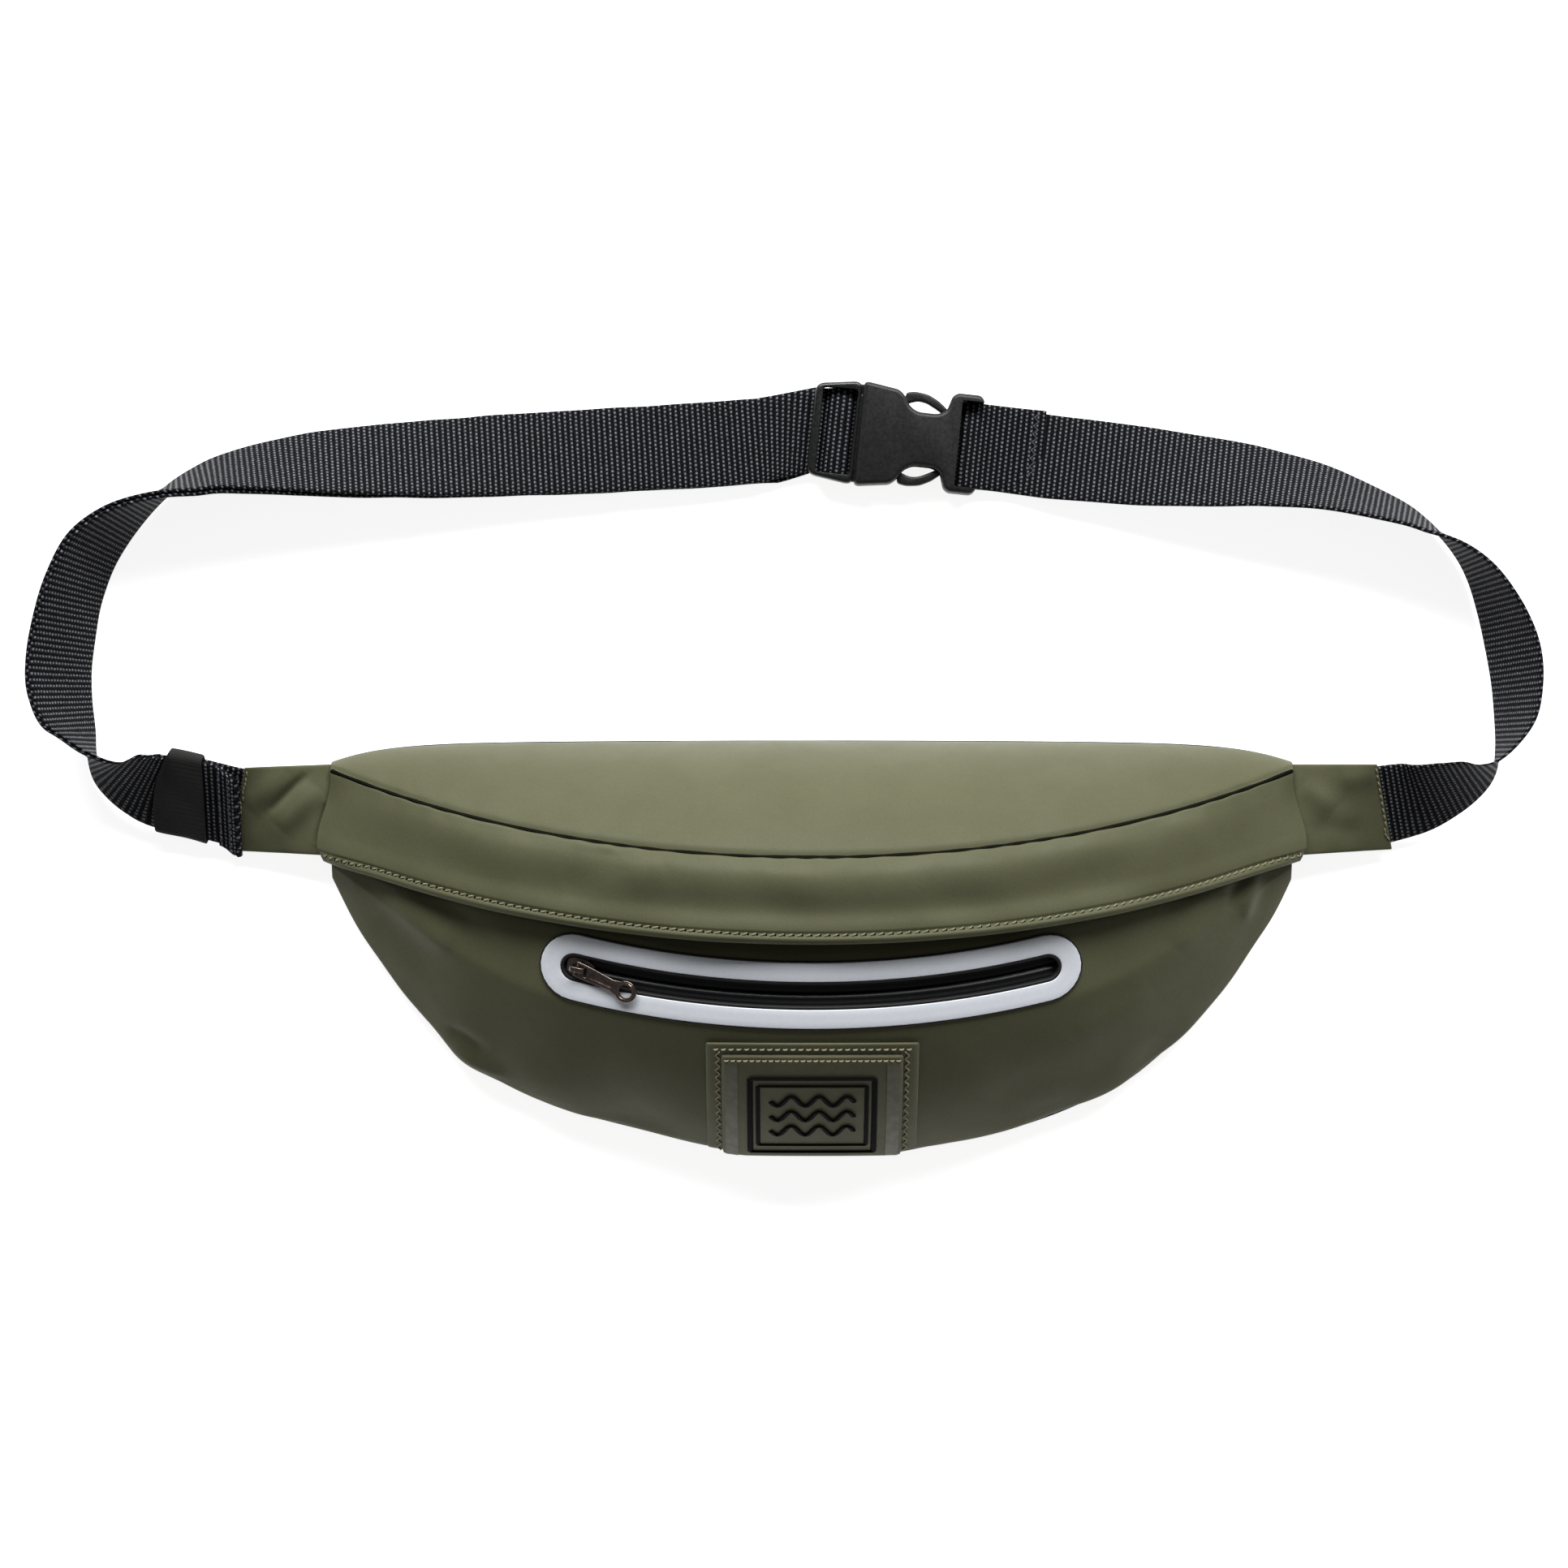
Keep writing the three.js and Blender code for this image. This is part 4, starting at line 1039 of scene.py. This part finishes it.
def puller_parts(hole_at):
    """A tapered plate with a ring at one end and its turning bar at the other."""
    hole, rim = 2.3, 3.9
    turn = np.linspace(-2.35, 2.35, 30)
    head = [(hole_at + rim * math.cos(t), rim * math.sin(t)) for t in turn]
    neck = hole_at - 5.3
    outline = [(-0.6, -1.7), (-0.6, -2.7), (4.4, -2.65), (neck, -2.1), *head, (neck, 2.1),
               (4.4, 2.65), (-0.6, 2.7), (-0.6, 1.7), (3.9, 1.6), (3.9, -1.6)]
    bore = [(hole_at + hole * math.cos(t), hole * math.sin(t)) for t in full_turn(32)]
    groove = rounded_outline([(5.2, -1.05), (hole_at - 4.8, -0.8), (hole_at - 4.8, 0.8), (5.2, 1.05)], 0.7)
    plate = carved([rounded_prism(outline, -0.5, 0.5, 0.3)],
                   [rounded_prism(bore, -2, 2, 0.01), rounded_prism(groove, 0.28, 2, 0.01)], 0.14)
    turns = full_turn(14)
    bar = [[(0.55 * math.cos(t), y, 0.55 * math.sin(t)) for t in turns] for y in np.linspace(-2.5, 2.5, 5)]
    round_hole, across_rim = full_turn(40)[:, None], full_turn(8)[None, :]
    reach = hole + 0.62 + 0.3 * np.cos(across_rim)
    rim_ring = vec(hole_at + reach * np.cos(round_hole), reach * np.sin(round_hole),
                   0.5 + 0.16 * np.sin(across_rim))
    return joined([plate, tube(np.array(bar)), wrapped(rim_ring)])


def add_slider(name, arc, rest_deg, top, turn_deg, reach, slider_body, puller_body):
    origin, along, up, out = arc.axes(math.radians(rest_deg))
    cast = drawn_at(slider_parts(top), (origin, along, up, out))
    sharp_at(make_piece(f"{name}_slider_cast", cast, METAL, slider_body, [f"{name}_slider"]))
    turn = math.radians(turn_deg)
    bar = origin - along * 0.5 + out * (top + 3.4)
    pulled = along * math.cos(turn) + up * math.sin(turn)
    sideways = up * math.cos(turn) - along * math.sin(turn)
    cast = drawn_at(puller_parts(reach), (bar, pulled, sideways, out))
    sharp_at(make_piece(f"{name}_puller_cast", cast, METAL, puller_body, [f"{name}_puller"]))


def add_zips():
    zips = (
        ("pocket_zip", POCKET_ZIP, WINDOW_LEFT + 0.6, WINDOW_RIGHT - 0.6, POCKET_TAPE_TOP),
        ("main_zip", MAIN_ZIP, -MAIN_ZIP_END, MAIN_ZIP_END, 0.0),
    )
    for zip_line in zips:
        add_tapes(*zip_line)
        add_coils(*zip_line)
        add_stops(*zip_line)
    add_slider("pocket_zip", POCKET_ZIP, POCKET_REST_DEG, POCKET_TAPE_TOP, PULLER_TURN_DEG, LONG_PULLER,
               "pocket_slider", "pocket_puller")
    add_slider("main_zip", MAIN_ZIP, MAIN_REST_DEG, 0.0, 0, SHORT_PULLER, "main_slider", "main_puller")


# ---------------------------------------------------------------- label
def front_at(x, y, proud):
    """The lower front's surface at a place in plan, standing a little proud of the fabric."""
    x, y = np.broadcast_arrays(np.asarray(x, float), np.asarray(y, float))
    low, high = np.full(x.shape, 3.0), np.full(x.shape, 4.0)
    for _ in range(24):
        middle = (low + high) / 2
        above = front_section(x, middle)[..., 1] > y
        low, high = np.where(above, middle, low), np.where(above, high, middle)
    return lifted(front_section(x, low), proud)


def on_front(name, look, half, top, bottom, low, high, nodes=(), middle=0.0):
    x = middle + np.linspace(-half, half, steps(50))[:, None]
    lowest = np.maximum(bottom, bottom_edge(x) + 1.3)
    y = top + (lowest - top) * np.linspace(0, 1, steps(40))[None, :]
    make_piece(name, thick_sheet(front_at(x, y, high), front_at(x, y, low)), look, nodes=nodes)


def front_path(corners, proud, step=0.5):
    """A polyline over the lower front, at an even step."""
    corners = np.array(corners, float)
    runs = []
    for a, b in zip(corners[:-1], corners[1:]):
        count = max(2, int(np.linalg.norm(b - a) / step))
        runs.append(a + (b - a) * np.linspace(0, 1, count, endpoint=False)[:, None])
    spots = np.concatenate(runs + [corners[-1:]])
    points = front_at(spots[:, 0], spots[:, 1], proud)
    return points, outward(points)


def satin_line(corners, proud, width=1.0, rise=0.3):
    """A line of close embroidery over the front."""
    points, normals = front_path(corners, proud)
    points, normals = resampled(points, normals, 0.34)
    uneven = 1 + 0.12 * np.where(np.arange(len(points)) % 2, 1, -1)
    turns = full_turn(10)
    section = np.stack([np.cos(turns) * width / 2, np.sin(turns) * rise], 1)
    loops = band(points, normals, section)
    loops = points[:, None] + (loops - points[:, None]) * uneven[:, None, None]
    return tube(loops)


def frame_corners(half, top, bottom):
    return [(-half, top), (half, top), (half, bottom), (-half, bottom), (-half, top)]


def wave_corners(level, half=15.0, swing=1.7, waves=3):
    x = np.linspace(-half, half, 60)
    return np.stack([x, level + swing * np.sin(x / half * math.pi * waves)], 1)


def add_label():
    on_front("label_base", PATCH, PATCH_HALF, PATCH_TOP, PATCH_BOTTOM, 0.1, 1.0, ["label_patch"])
    for name, side in (("left", -1), ("right", 1)):
        on_front(f"label_satin_{name}", SATIN, 2.2, LABEL_TOP - 1.6, PATCH_BOTTOM + 0.6, 1.9, 2.35,
                 middle=side * (LABEL_HALF - 2.9))
    on_front("label_raised", PATCH, LABEL_HALF, LABEL_TOP, PATCH_BOTTOM + 0.3, 0.8, 2.1, ["label"])
    lines = [satin_line(frame_corners(21.4, -40.6, -67.6), 2.2, 2.0, 0.4)]
    lines += [satin_line(frame_corners(18.7, -43.2, -64.9), 2.2, 1.5, 0.35)]
    lines += [satin_line(wave_corners(level, 14.4), 2.25, 2.1, 0.45) for level in (-48.6, -54.0, -59.4)]
    make_piece("label_embroidery", joined(lines), BLACK_THREAD)
    rows = []
    for half, y, proud, sizes in ((33.0, -31.0, 1.1, (2.6, 2.0, 0.15, 0.32)),
                                  (29.4, -34.0, 2.2, (2.2, 1.9, 0.1, 0.3))):
        rows.append(stitch_row(*front_path([(-half, y), (half, y)], proud), *sizes))
    make_piece("label_topstitch", joined(rows), TAN_THREAD)
    zigzags = []
    for side in (-1, 1):
        y = np.arange(PATCH_TOP - 2.2, PATCH_BOTTOM + 1.2, -1.3)
        x = side * (LABEL_HALF + 1.7 + 0.7 * np.where(np.arange(len(y)) % 2, 1, -1))
        zigzags.append(satin_line(np.stack([x, y], 1), 1.25, 0.5, 0.24))
    make_piece("label_zigzag", joined(zigzags), TAN_THREAD)


# ---------------------------------------------------------------- belt
# Routes of the edge that rests on the table: x, y, z and the webbing's tilt in degrees,
# 0 lying flat towards the inside of the loop, 90 standing on its edge.
LEFT_ROUTE = (
    (-191, 35.4, 4.3, 18.6), (-203, 37.8, 3.2, 28), (-217.5, 41.4, 3.2, 28), (-232, 45, 3.2, 29),
    (-240, 49.4, 2.8, 38), (-246, 54.6, 2.2, 47), (-250.5, 61, 2, 60), (-252, 69, 1.9, 85),
    (-252, 77, 2, 108), (-253.1, 88, 2.2, 122), (-253.1, 100, 2.2, 126), (-251.2, 114.6, 2.2, 124),
    (-248.6, 126, 2.2, 121), (-244, 137.4, 2.1, 117), (-236.6, 148.9, 1.9, 104), (-227, 160, 1.6, 84),
    (-217, 167.4, 1.3, 70), (-205.7, 172.8, 1.1, 62), (-183, 179.2, 1, 46), (-160, 182.8, 1, 35),
    (-125, 186.4, 1, 22), (-85, 189.4, 1, 12), (-45, 192, 1, 7), (-14, 194.2, 1, 3),
)
RIGHT_ROUTE = (
    (191, 36, 4.4, 17.5), (203, 38.2, 3, 25), (217, 42.2, 2.4, 33), (228.6, 49.1, 2.2, 47),
    (236.6, 56.5, 2, 60), (240.2, 63, 1.8, 74), (240.9, 71, 1.6, 92), (240.5, 81, 1.5, 108),
    (239.4, 93, 1.5, 116), (237.4, 105, 1.4, 118), (234.6, 118, 1.4, 112), (230.8, 131, 1.3, 101),
    (225, 141.4, 1.2, 90), (216.4, 151, 1.1, 77), (205.7, 158.8, 1, 69), (183, 169.5, 1, 56),
    (160, 176.6, 1, 43), (137, 181, 1, 30), (114.3, 184.6, 1, 18), (86, 188.2, 1, 8),
)


class Webbing:
    """A flat strip whose resting edge follows a route and whose tilt turns along it."""

    def __init__(self, route, side):
        knots = np.array(route, float)
        before, after = 2 * knots[:1] - knots[1:2], 2 * knots[-1:] - knots[-2:-1]
        self.knots = np.concatenate([before, knots, after])
        self.legs = len(route) - 1
        self.side = side

    def spline(self, leg):
        leg = np.asarray(leg, float)
        index = np.clip(np.floor(leg).astype(int), 0, self.legs - 1)
        t = (leg - index)[..., None]
        a, b, c, d = (self.knots[index + k] for k in range(4))
        bend, twist = 2 * a - 5 * b + 4 * c - d, 3 * b - a - 3 * c + d
        spot = 0.5 * (2 * b + (c - a) * t + bend * t**2 + twist * t**3)
        speed = 0.5 * ((c - a) + 2 * bend * t + 3 * twist * t**2)
        return spot, speed

    def at(self, leg, w, n):
        """w runs across the webbing and n out of its face."""
        leg, w, n = np.broadcast_arrays(*(np.asarray(c, float) for c in (leg, w, n)))
        spot, speed = self.spline(leg)
        run = unit(vec(speed[..., 0], speed[..., 1], 0))
        inward = vec(run[..., 1], -run[..., 0], 0) * self.side
        turn = np.radians(spot[..., 3])[..., None]
        up = np.array([0, 0, 1.0])
        across = inward * np.cos(turn) + up * np.sin(turn)
        face = up * np.cos(turn) - inward * np.sin(turn)
        return spot[..., :3] + across * w[..., None] + face * n[..., None]


LEFT_WEB = Webbing(LEFT_ROUTE, 1)
RIGHT_WEB = Webbing(RIGHT_ROUTE, -1)


def buckle_to_world(points):
    """From the buckle's own axes to the bag's."""
    points = np.asarray(points, float)
    c, s = math.cos(BUCKLE_TURN), math.sin(BUCKLE_TURN)
    x, y, z = points[..., 0], points[..., 1], points[..., 2]
    return vec(x * c - y * s + BUCKLE_CENTRE[0], x * s + y * c + BUCKLE_CENTRE[1], z)


def web_section():
    """(across, out) round one webbing layer, its edges rolled."""
    return rounded_box_section(WEB_WIDE / 2, -WEB_HALF, WEB_HALF, 0.7, 3, wide_steps=12)


def layer_loops(place, legs, middle, turned=1):
    """Sections of one layer along a route: turned is -1 where its outer side faces the table."""
    section = web_section()
    w = WEB_WIDE / 2 - section[:, 0]
    return place(np.asarray(legs)[:, None], w[None, :], middle + turned * section[None, :, 1])


def inner_loops(spots):
    """Sections inside the buckle at (x, z, outX, outZ)."""
    section = web_section()
    loops = [np.stack([x + section[:, 1] * out_x, section[:, 0], z + section[:, 1] * out_z], 1)
             for x, z, out_x, out_z in spots]
    return buckle_to_world(np.array(loops))


def wrap_spots(bar_x, way, reach, count=14):
    """The webbing's turn round a bar: reach is how far it swings out past the bar's middle."""
    turns = np.radians(np.linspace(-90, 90, count))
    return [(bar_x + way * math.cos(t) * reach, BAR_HEIGHT + math.sin(t) * WRAP_RADIUS,
             way * math.cos(t), math.sin(t)) for t in turns]


def evened(loops, pitch):
    """The sections at an even pitch along their middles, with the distance of each."""
    far = far_along(loops.mean(axis=1))
    spots = np.linspace(0, far[-1], max(8, int(far[-1] / pitch)))
    index = np.clip(np.searchsorted(far, spots) - 1, 0, len(far) - 2)
    share = ((spots - far[index]) / np.maximum(far[index + 1] - far[index], 1e-6))[:, None, None]
    return loops[index] * (1 - share) + loops[index + 1] * share, spots


def strap_mesh(name, loops, body, nodes, seed):
    loops, far = evened(loops, 0.9 / FINE)
    spine = loops.mean(axis=1, keepdims=True)
    wander = 0.22 * ripple(loops, 24, seed) * np.abs(np.cos(far * 0.05))[:, None]
    edge = np.linalg.norm(loops - spine, axis=-1) / (WEB_WIDE / 2)
    loops = loops + unit(loops - spine) * (wander * smooth(0.8, 1.0, edge))[..., None]
    section = web_section()
    across = np.broadcast_to(section[:, 0], loops.shape[:2])
    along = np.broadcast_to(far[:, None], loops.shape[:2])
    return make_piece(name, tube(loops), WEBBING, body, nodes, uv=np.stack([along, across], -1))


def on_tail(leg, w, n):
    """A place on the webbing's tail, whose end lies askew over the wing's edge."""
    leg, w = np.broadcast_arrays(np.asarray(leg, float), np.asarray(w, float))
    askew = TAIL_SKEW * smooth(4.4, 2.9, leg) * (w / WEB_WIDE - 0.5)
    drift = TAIL_DRIFT * smooth(1.5, 1.1, leg)
    return LEFT_WEB.at(leg + askew, w - drift, n + TAIL_RISE * smooth(1.3, 1.05, leg))


def add_left_strap():
    legs = np.linspace(0, LEFT_WEB.legs, LEFT_WEB.legs * 10)
    back = np.linspace(LEFT_WEB.legs, TAIL_END, LEFT_WEB.legs * 10)
    loops = np.concatenate([
        layer_loops(LEFT_WEB.at, legs, 0, -1),
        inner_loops([(REAR_BAR, LOW_LAYER, 0, -1)]),
        inner_loops(wrap_spots(LOCK_BAR, 1, 4.9)),
        inner_loops([(LOCK_BAR - 3, 5.5, 0, 1), (REAR_BAR + 1.4, LOW_LAYER + LAYER, 0, 1),
                     (REAR_BAR - 2, LOW_LAYER + LAYER, 0, 1)]),
        layer_loops(on_tail, back[2:], LAYER),
    ])
    strap_mesh("strap_left_webbing", loops, "bag", ["strap_left"], 21)
    hem = layer_loops(on_tail, np.linspace(TAIL_END - 0.03, HEM_END, 14), 2 * LAYER - 0.15)
    strap_mesh("tail_hem_webbing", hem, "bag", ["strap_tail_hem"], 22)
    fold = on_tail(TAIL_END - 0.03, np.linspace(0.3, WEB_WIDE - 0.3, 12), 1.5 * LAYER)
    turns = np.linspace(math.pi * 0.5, math.pi * 1.5, 7)
    away = unit(LEFT_WEB.at(TAIL_END - 0.05, 15, 0) - LEFT_WEB.at(TAIL_END, 15, 0))
    out = unit(LEFT_WEB.at(TAIL_END, 15, 1) - LEFT_WEB.at(TAIL_END, 15, 0))
    loops = np.array([fold - away * 1.7 * math.cos(t) + out * 1.7 * math.sin(t) for t in turns])
    shape = thick_sheet(loops, loops + away * 0.05 - unit(loops - fold) * 1.1)
    make_piece("tail_fold", shape, WEBBING, uv=shape[0][:, [2, 1]])
    lines = []
    for leg in (TAIL_END + 0.1, HEM_END - 0.08):
        row = on_tail(leg, np.linspace(1.5, WEB_WIDE - 1.5, 40), 2 * LAYER + WEB_HALF - 0.1)
        lines.append(stitch_row(row, all_along(row, out), 2.4, 1.9, 0.1))
    make_piece("tail_hem_stitches", joined(lines), GREY_THREAD)


def add_right_strap():
    legs = np.linspace(0, RIGHT_WEB.legs, RIGHT_WEB.legs * 10)
    loops = np.concatenate([
        layer_loops(RIGHT_WEB.at, legs, 0, -1),
        inner_loops([(SEWN_BAR + 7, LOW_LAYER, 0, -1)]),
        inner_loops(wrap_spots(SEWN_BAR, -1, WRAP_RADIUS)),
        inner_loops([(SEWN_BAR + 3, BAR_HEIGHT + WRAP_RADIUS - 0.4, 0, 1),
                     (SEWN_BAR + 8, LOW_LAYER + LAYER + 0.7, 0, 1),
                     (SEWN_BAR + 13, LOW_LAYER + LAYER, 0, 1), (FOLDED_END, LOW_LAYER + LAYER, 0, 1)]),
    ])
    strap = strap_mesh("strap_right_webbing", loops, None, ["strap_right"], 23)
    y = np.linspace(-13.6, 13.6, 20)
    x = FOLDED_END - 3.2 + 0.9 * np.where(np.arange(len(y)) % 2, 1, -1)
    zigzag = buckle_to_world(vec(x, y, LOW_LAYER + LAYER + WEB_HALF))
    thread = tube(band(zigzag, all_along(zigzag, UP), rounded_box_section(0.35, -0.25, 0.35, 0.2, 3)))
    stitches = make_piece("strap_right_zigzag", thread, GREY_THREAD, None)
    for piece in (strap, stitches):
        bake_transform(piece)


def add_keeper():
    """A wide elastic loop round both layers, with rolled ends."""
    middle = LAYER / 2
    half_thick = middle + WEB_HALF
    lengths = np.linspace(KEEPER_LEGS[0], KEEPER_LEGS[1], 16)
    ends = np.radians([50, 0, -50])
    near = [(KEEPER_LEGS[0] - 0.028 * math.cos(a), 0.92 + 0.42 * math.sin(a)) for a in -ends]
    far = [(KEEPER_LEGS[1] + 0.028 * math.cos(a), 0.92 + 0.42 * math.sin(a)) for a in ends]
    rim = [(leg, 1.35) for leg in lengths] + far + [(leg, 0.5) for leg in lengths[::-1]] + near
    rows = []
    for leg, grow in rim:
        thick = half_thick + grow
        section = rounded_box_section(WEB_WIDE / 2 + grow, middle - thick, middle + thick, 0.8 + grow, 4, 16)
        sag = 0.25 * np.sin(section[:, 0] * 0.35 + leg * 5)
        drawn = KEEPER_DRAWN * smooth(KEEPER_LEGS[0], KEEPER_LEGS[1], leg) * (0.5 - section[:, 0] / WEB_WIDE)
        askew = leg - TAIL_SKEW * section[:, 0] / WEB_WIDE + drawn
        rows.append(LEFT_WEB.at(askew, WEB_WIDE / 2 - section[:, 0], section[:, 1] + sag * (grow > 1)))
    loops = np.stack(rows, 1)
    spread = np.broadcast_to(np.arange(loops.shape[0])[:, None] * 1.0, loops.shape[:2])
    legs_along = np.broadcast_to(np.array([leg for leg, _ in rim]) * 15.0, loops.shape[:2])
    flat = np.stack([legs_along, spread], -1)
    make_piece("elastic_keeper", wrapped(loops), ELASTIC, "keeper", ["keeper"], uv=flat)


LEFT_WING_FOLDS = (
    ((-176, 62), (-190, 49), 1.7, -1.5), ((-172, 57), (-186, 43), 4, 1.5),
    ((-183, 63), (-197, 50), 4, 0.9), ((-169, 52), (-172, 37), 2.4, -1.3),
)
RIGHT_WING_FOLDS = (
    ((171, 58), (183, 50), 4, 1.0), ((176, 44), (192, 42), 4, -0.8), ((184, 60), (198, 62), 4, 0.8),
)


def wing_layer(web, side, near, far, height, folds=(), reach=1.0):
    """One sheet of a wing: near and far are its levels at the bag and at the webbing."""
    hem = 1.4
    t = np.linspace(0, 1, steps(60))[:, None]
    v = np.linspace(0, reach, steps(50))[None, :]
    start = vec(side * (BAG_END - 1.0), 34 + 31 * v, near + height)
    end = web.at(1.0, -hem + (WEB_WIDE + 2 * hem) * v, far + height)
    outer = mixed(start, end, t)
    span = np.sin(math.pi * t) * np.sin(math.pi * v) ** 0.7
    lift = 1.2 * span * np.sign(near - 8) + 0.3 * ripple(outer, 14, 31) * span
    lift = lift + sum(ridge(outer, *item) for item in folds)
    return outer + vec(0, 0, lift * smooth(1.0, 0.93, t))


def add_wing(name, web, side, folds):
    """Two sheets that hold the webbing between them, and their stitch row."""
    clear = WEB_HALF + 0.3
    top = wing_layer(web, side, 9.6, clear, WING_SHEET, folds)
    shape = thick_sheet(top, top - np.array([0, 0, WING_SHEET]))
    make_piece(f"{name}_front_fabric", shape, OLIVE, nodes=[f"{name}_front"])
    low = wing_layer(web, side, 5.4, -clear, 0, reach=0.93)
    shape = thick_sheet(low, low - np.array([0, 0, WING_SHEET]))
    make_piece(f"{name}_back_fabric", shape, OLIVE_DARK, nodes=[f"{name}_back"])
    row = web.at(0.93, np.linspace(1.5, WEB_WIDE - 1.5, 60), 0)
    index = [np.argmin(np.linalg.norm(top[..., :2] - p[:2], axis=-1)) for p in row]
    path = top.reshape(-1, 3)[index] + np.array([0, 0, 0.05])
    keep = np.concatenate([[True], np.linalg.norm(np.diff(path, axis=0), axis=1) > 0.2])
    path = path[keep]
    row = stitch_row(path, all_along(path, UP), 2.6, 1.9, 0.15, 0.24)
    make_piece(f"{name}_stitches", row, OLIVE_THREAD)


# ---------------------------------------------------------------- buckle
# Outlines in the buckle's own axes, from its centre: half of the sleeve, and one prong.
FEMALE_HALF = ((MOUTH, 18.4), (-1, 16.6), (1.2, 14.8), (3.4, 11), (6.4, 9.3), (13.4, 9.3), (16.4, 11),
               (17.8, 16), (19.6, 17.4), (27.6, 17.4), (29.2, 15.8))
PRONG = ((-8.2, 10.6), (0, 10.8), (3, 12.4), (6, 13.4), (9, 13.0), (13, 11.0), (15.4, 9.6), (16.8, 11.2),
         (13.5, 14), (9.5, 16), (5, 16.6), (1.6, 16), (1.4, 13.6), (-8.2, 13.4))


def mirrored(half):
    """A whole outline from the half above the middle line."""
    return list(half) + [(x, -y) for x, y in reversed(half)]


def moulding(name, shape, look, body, node, degrees=32):
    """A piece of the buckle, drawn round the buckle's own centre."""
    piece = make_piece(name, (buckle_to_world(shape[0]), shape[1]), look, body, [node])
    sharp_at(piece, degrees)


def add_male_buckle():
    half = [(-30.2, 16.0), (MOUTH - 0.3, 18.3)]
    frame_slab = rounded_prism(rounded_outline(mirrored(half), 3.2, 7), 3.3, 8.8, 1.2, 5)
    window = block((-27.5, 0.4 - RAIL_IN, 0), (-15.1, RAIL_IN - 0.4, 12), 0.6)
    bars = [
        block((LOCK_BAR - 2.2, -16.5, 2.2), (LOCK_BAR + 0.1, 16.5, 4.5), 0.5),
        block((-15.4, -16.5, 0.8), (-13.9, 16.5, 6.0), 0.3),
        block((-14.3, -13.8, 2.6), (-9, 13.8, 8.4), 0.5),
        block((-14.8, -17.2, 3.8), (-13.1, 17.2, 8.0), 0.4),
        block((-10, -3.4, 3.2), (8, 3.4, 7.8), 0.8),
    ]
    body = carved([frame_slab], [window], 0.45)
    moulding("male_buckle_frame", carved([body] + bars, []), GLOSSY, "bag", "male_buckle")


def add_female_buckle():
    shell = rounded_prism(rounded_outline(mirrored(FEMALE_HALF), 2.2, 6), 0.5, 10.6, 1.5, 5)
    cuts = [
        block((MOUTH - 3, -14.2, 2.2), (17.4, 14.2, 8.8), 0.4),
        block((1.4, -30, 2.2), (17.4, 30, 8.8), 0.4),
        block((21.7, 0.4 - RAIL_IN, -3), (SEWN_BAR - 0.6, RAIL_IN - 0.4, 14), 0.5),
        block((21.5, 0.4 - RAIL_IN, 4.5), (45, RAIL_IN - 0.4, 14), 0.4),
        block((21.7, 0.4 - RAIL_IN, -3), (45, RAIL_IN - 0.4, 2.1), 0.4),
        block((SEWN_BAR + 1.9, 0.4 - RAIL_IN, -3), (45, RAIL_IN - 0.4, 14), 0.4),
    ]
    moulding("female_buckle_sleeve", carved([shell], cuts, 0.3), PLASTIC, "female_half", "female_buckle")


def add_prongs():
    for name, side in (("prong_upper", 1), ("prong_lower", -1)):
        outline = rounded_outline([(x, side * y) for x, y in PRONG], 1.4, 5)
        moulding(f"{name}_arm", rounded_prism(outline, 3.2, 7.8, 0.7), PLASTIC, name, name, 38)


# ---------------------------------------------------------------- surroundings
def add_floor():
    material = mottled("table", (0.9, 0.9, 0.9), (0.9, 0.9, 0.9), 1.0, 0.9, 0.0,
                       Emission_Color=(1, 1, 1, 1), Emission_Strength=0.85)
    half, level = 3, -0.0005
    corners = [(-half, -half, level), (half, -half, level), (half, half, level), (-half, half, level)]
    floor = new_object("table", (corners, [(0, 1, 2, 3)]))
    floor.data.materials.append(material)


def add_light(name, place, target, size, power):
    data = bpy.data.lights.new(name, "AREA")
    data.shape = "RECTANGLE"
    data.size, data.size_y = size
    data.energy = power
    lamp = bpy.data.objects.new(name, data)
    lamp.location = place
    lamp.rotation_euler = (Vector(target) - Vector(place)).to_track_quat("-Z", "Y").to_euler()
    bpy.context.scene.collection.objects.link(lamp)


def add_surroundings():
    world = bpy.data.worlds.new("studio")
    world.use_nodes = True
    world.node_tree.nodes["Background"].inputs["Color"].default_value = (1, 1, 1, 1)
    world.node_tree.nodes["Background"].inputs["Strength"].default_value = 0.1
    bpy.context.scene.world = world
    add_floor()
    add_light("softbox", (0.1, 1.36, 1.05), (0, 0.05, 0.02), (2.3, 0.5), 53)
    camera_data = bpy.data.cameras.new("front_view")
    camera_data.lens = 100
    camera_data.sensor_width = 36
    camera = bpy.data.objects.new("front_view", camera_data)
    camera.location = (-0.00971, 0.05857, 1.5333)
    camera.rotation_euler = (0, 0, 0)
    bpy.context.scene.collection.objects.link(camera)
    bpy.context.scene.camera = camera
    bpy.context.scene.view_settings.view_transform = "Standard"


add_top_panel()
add_storm_flap()
add_seam_shade()
add_front_panel()
add_back_panel()
add_linings()
add_reflective_frame()
add_zips()
add_label()
add_left_strap()
add_right_strap()
add_keeper()
add_wing("wing_left", LEFT_WEB, -1, LEFT_WING_FOLDS)
add_wing("wing_right", RIGHT_WEB, 1, RIGHT_WING_FOLDS)
add_male_buckle()
add_female_buckle()
add_prongs()
add_surroundings()
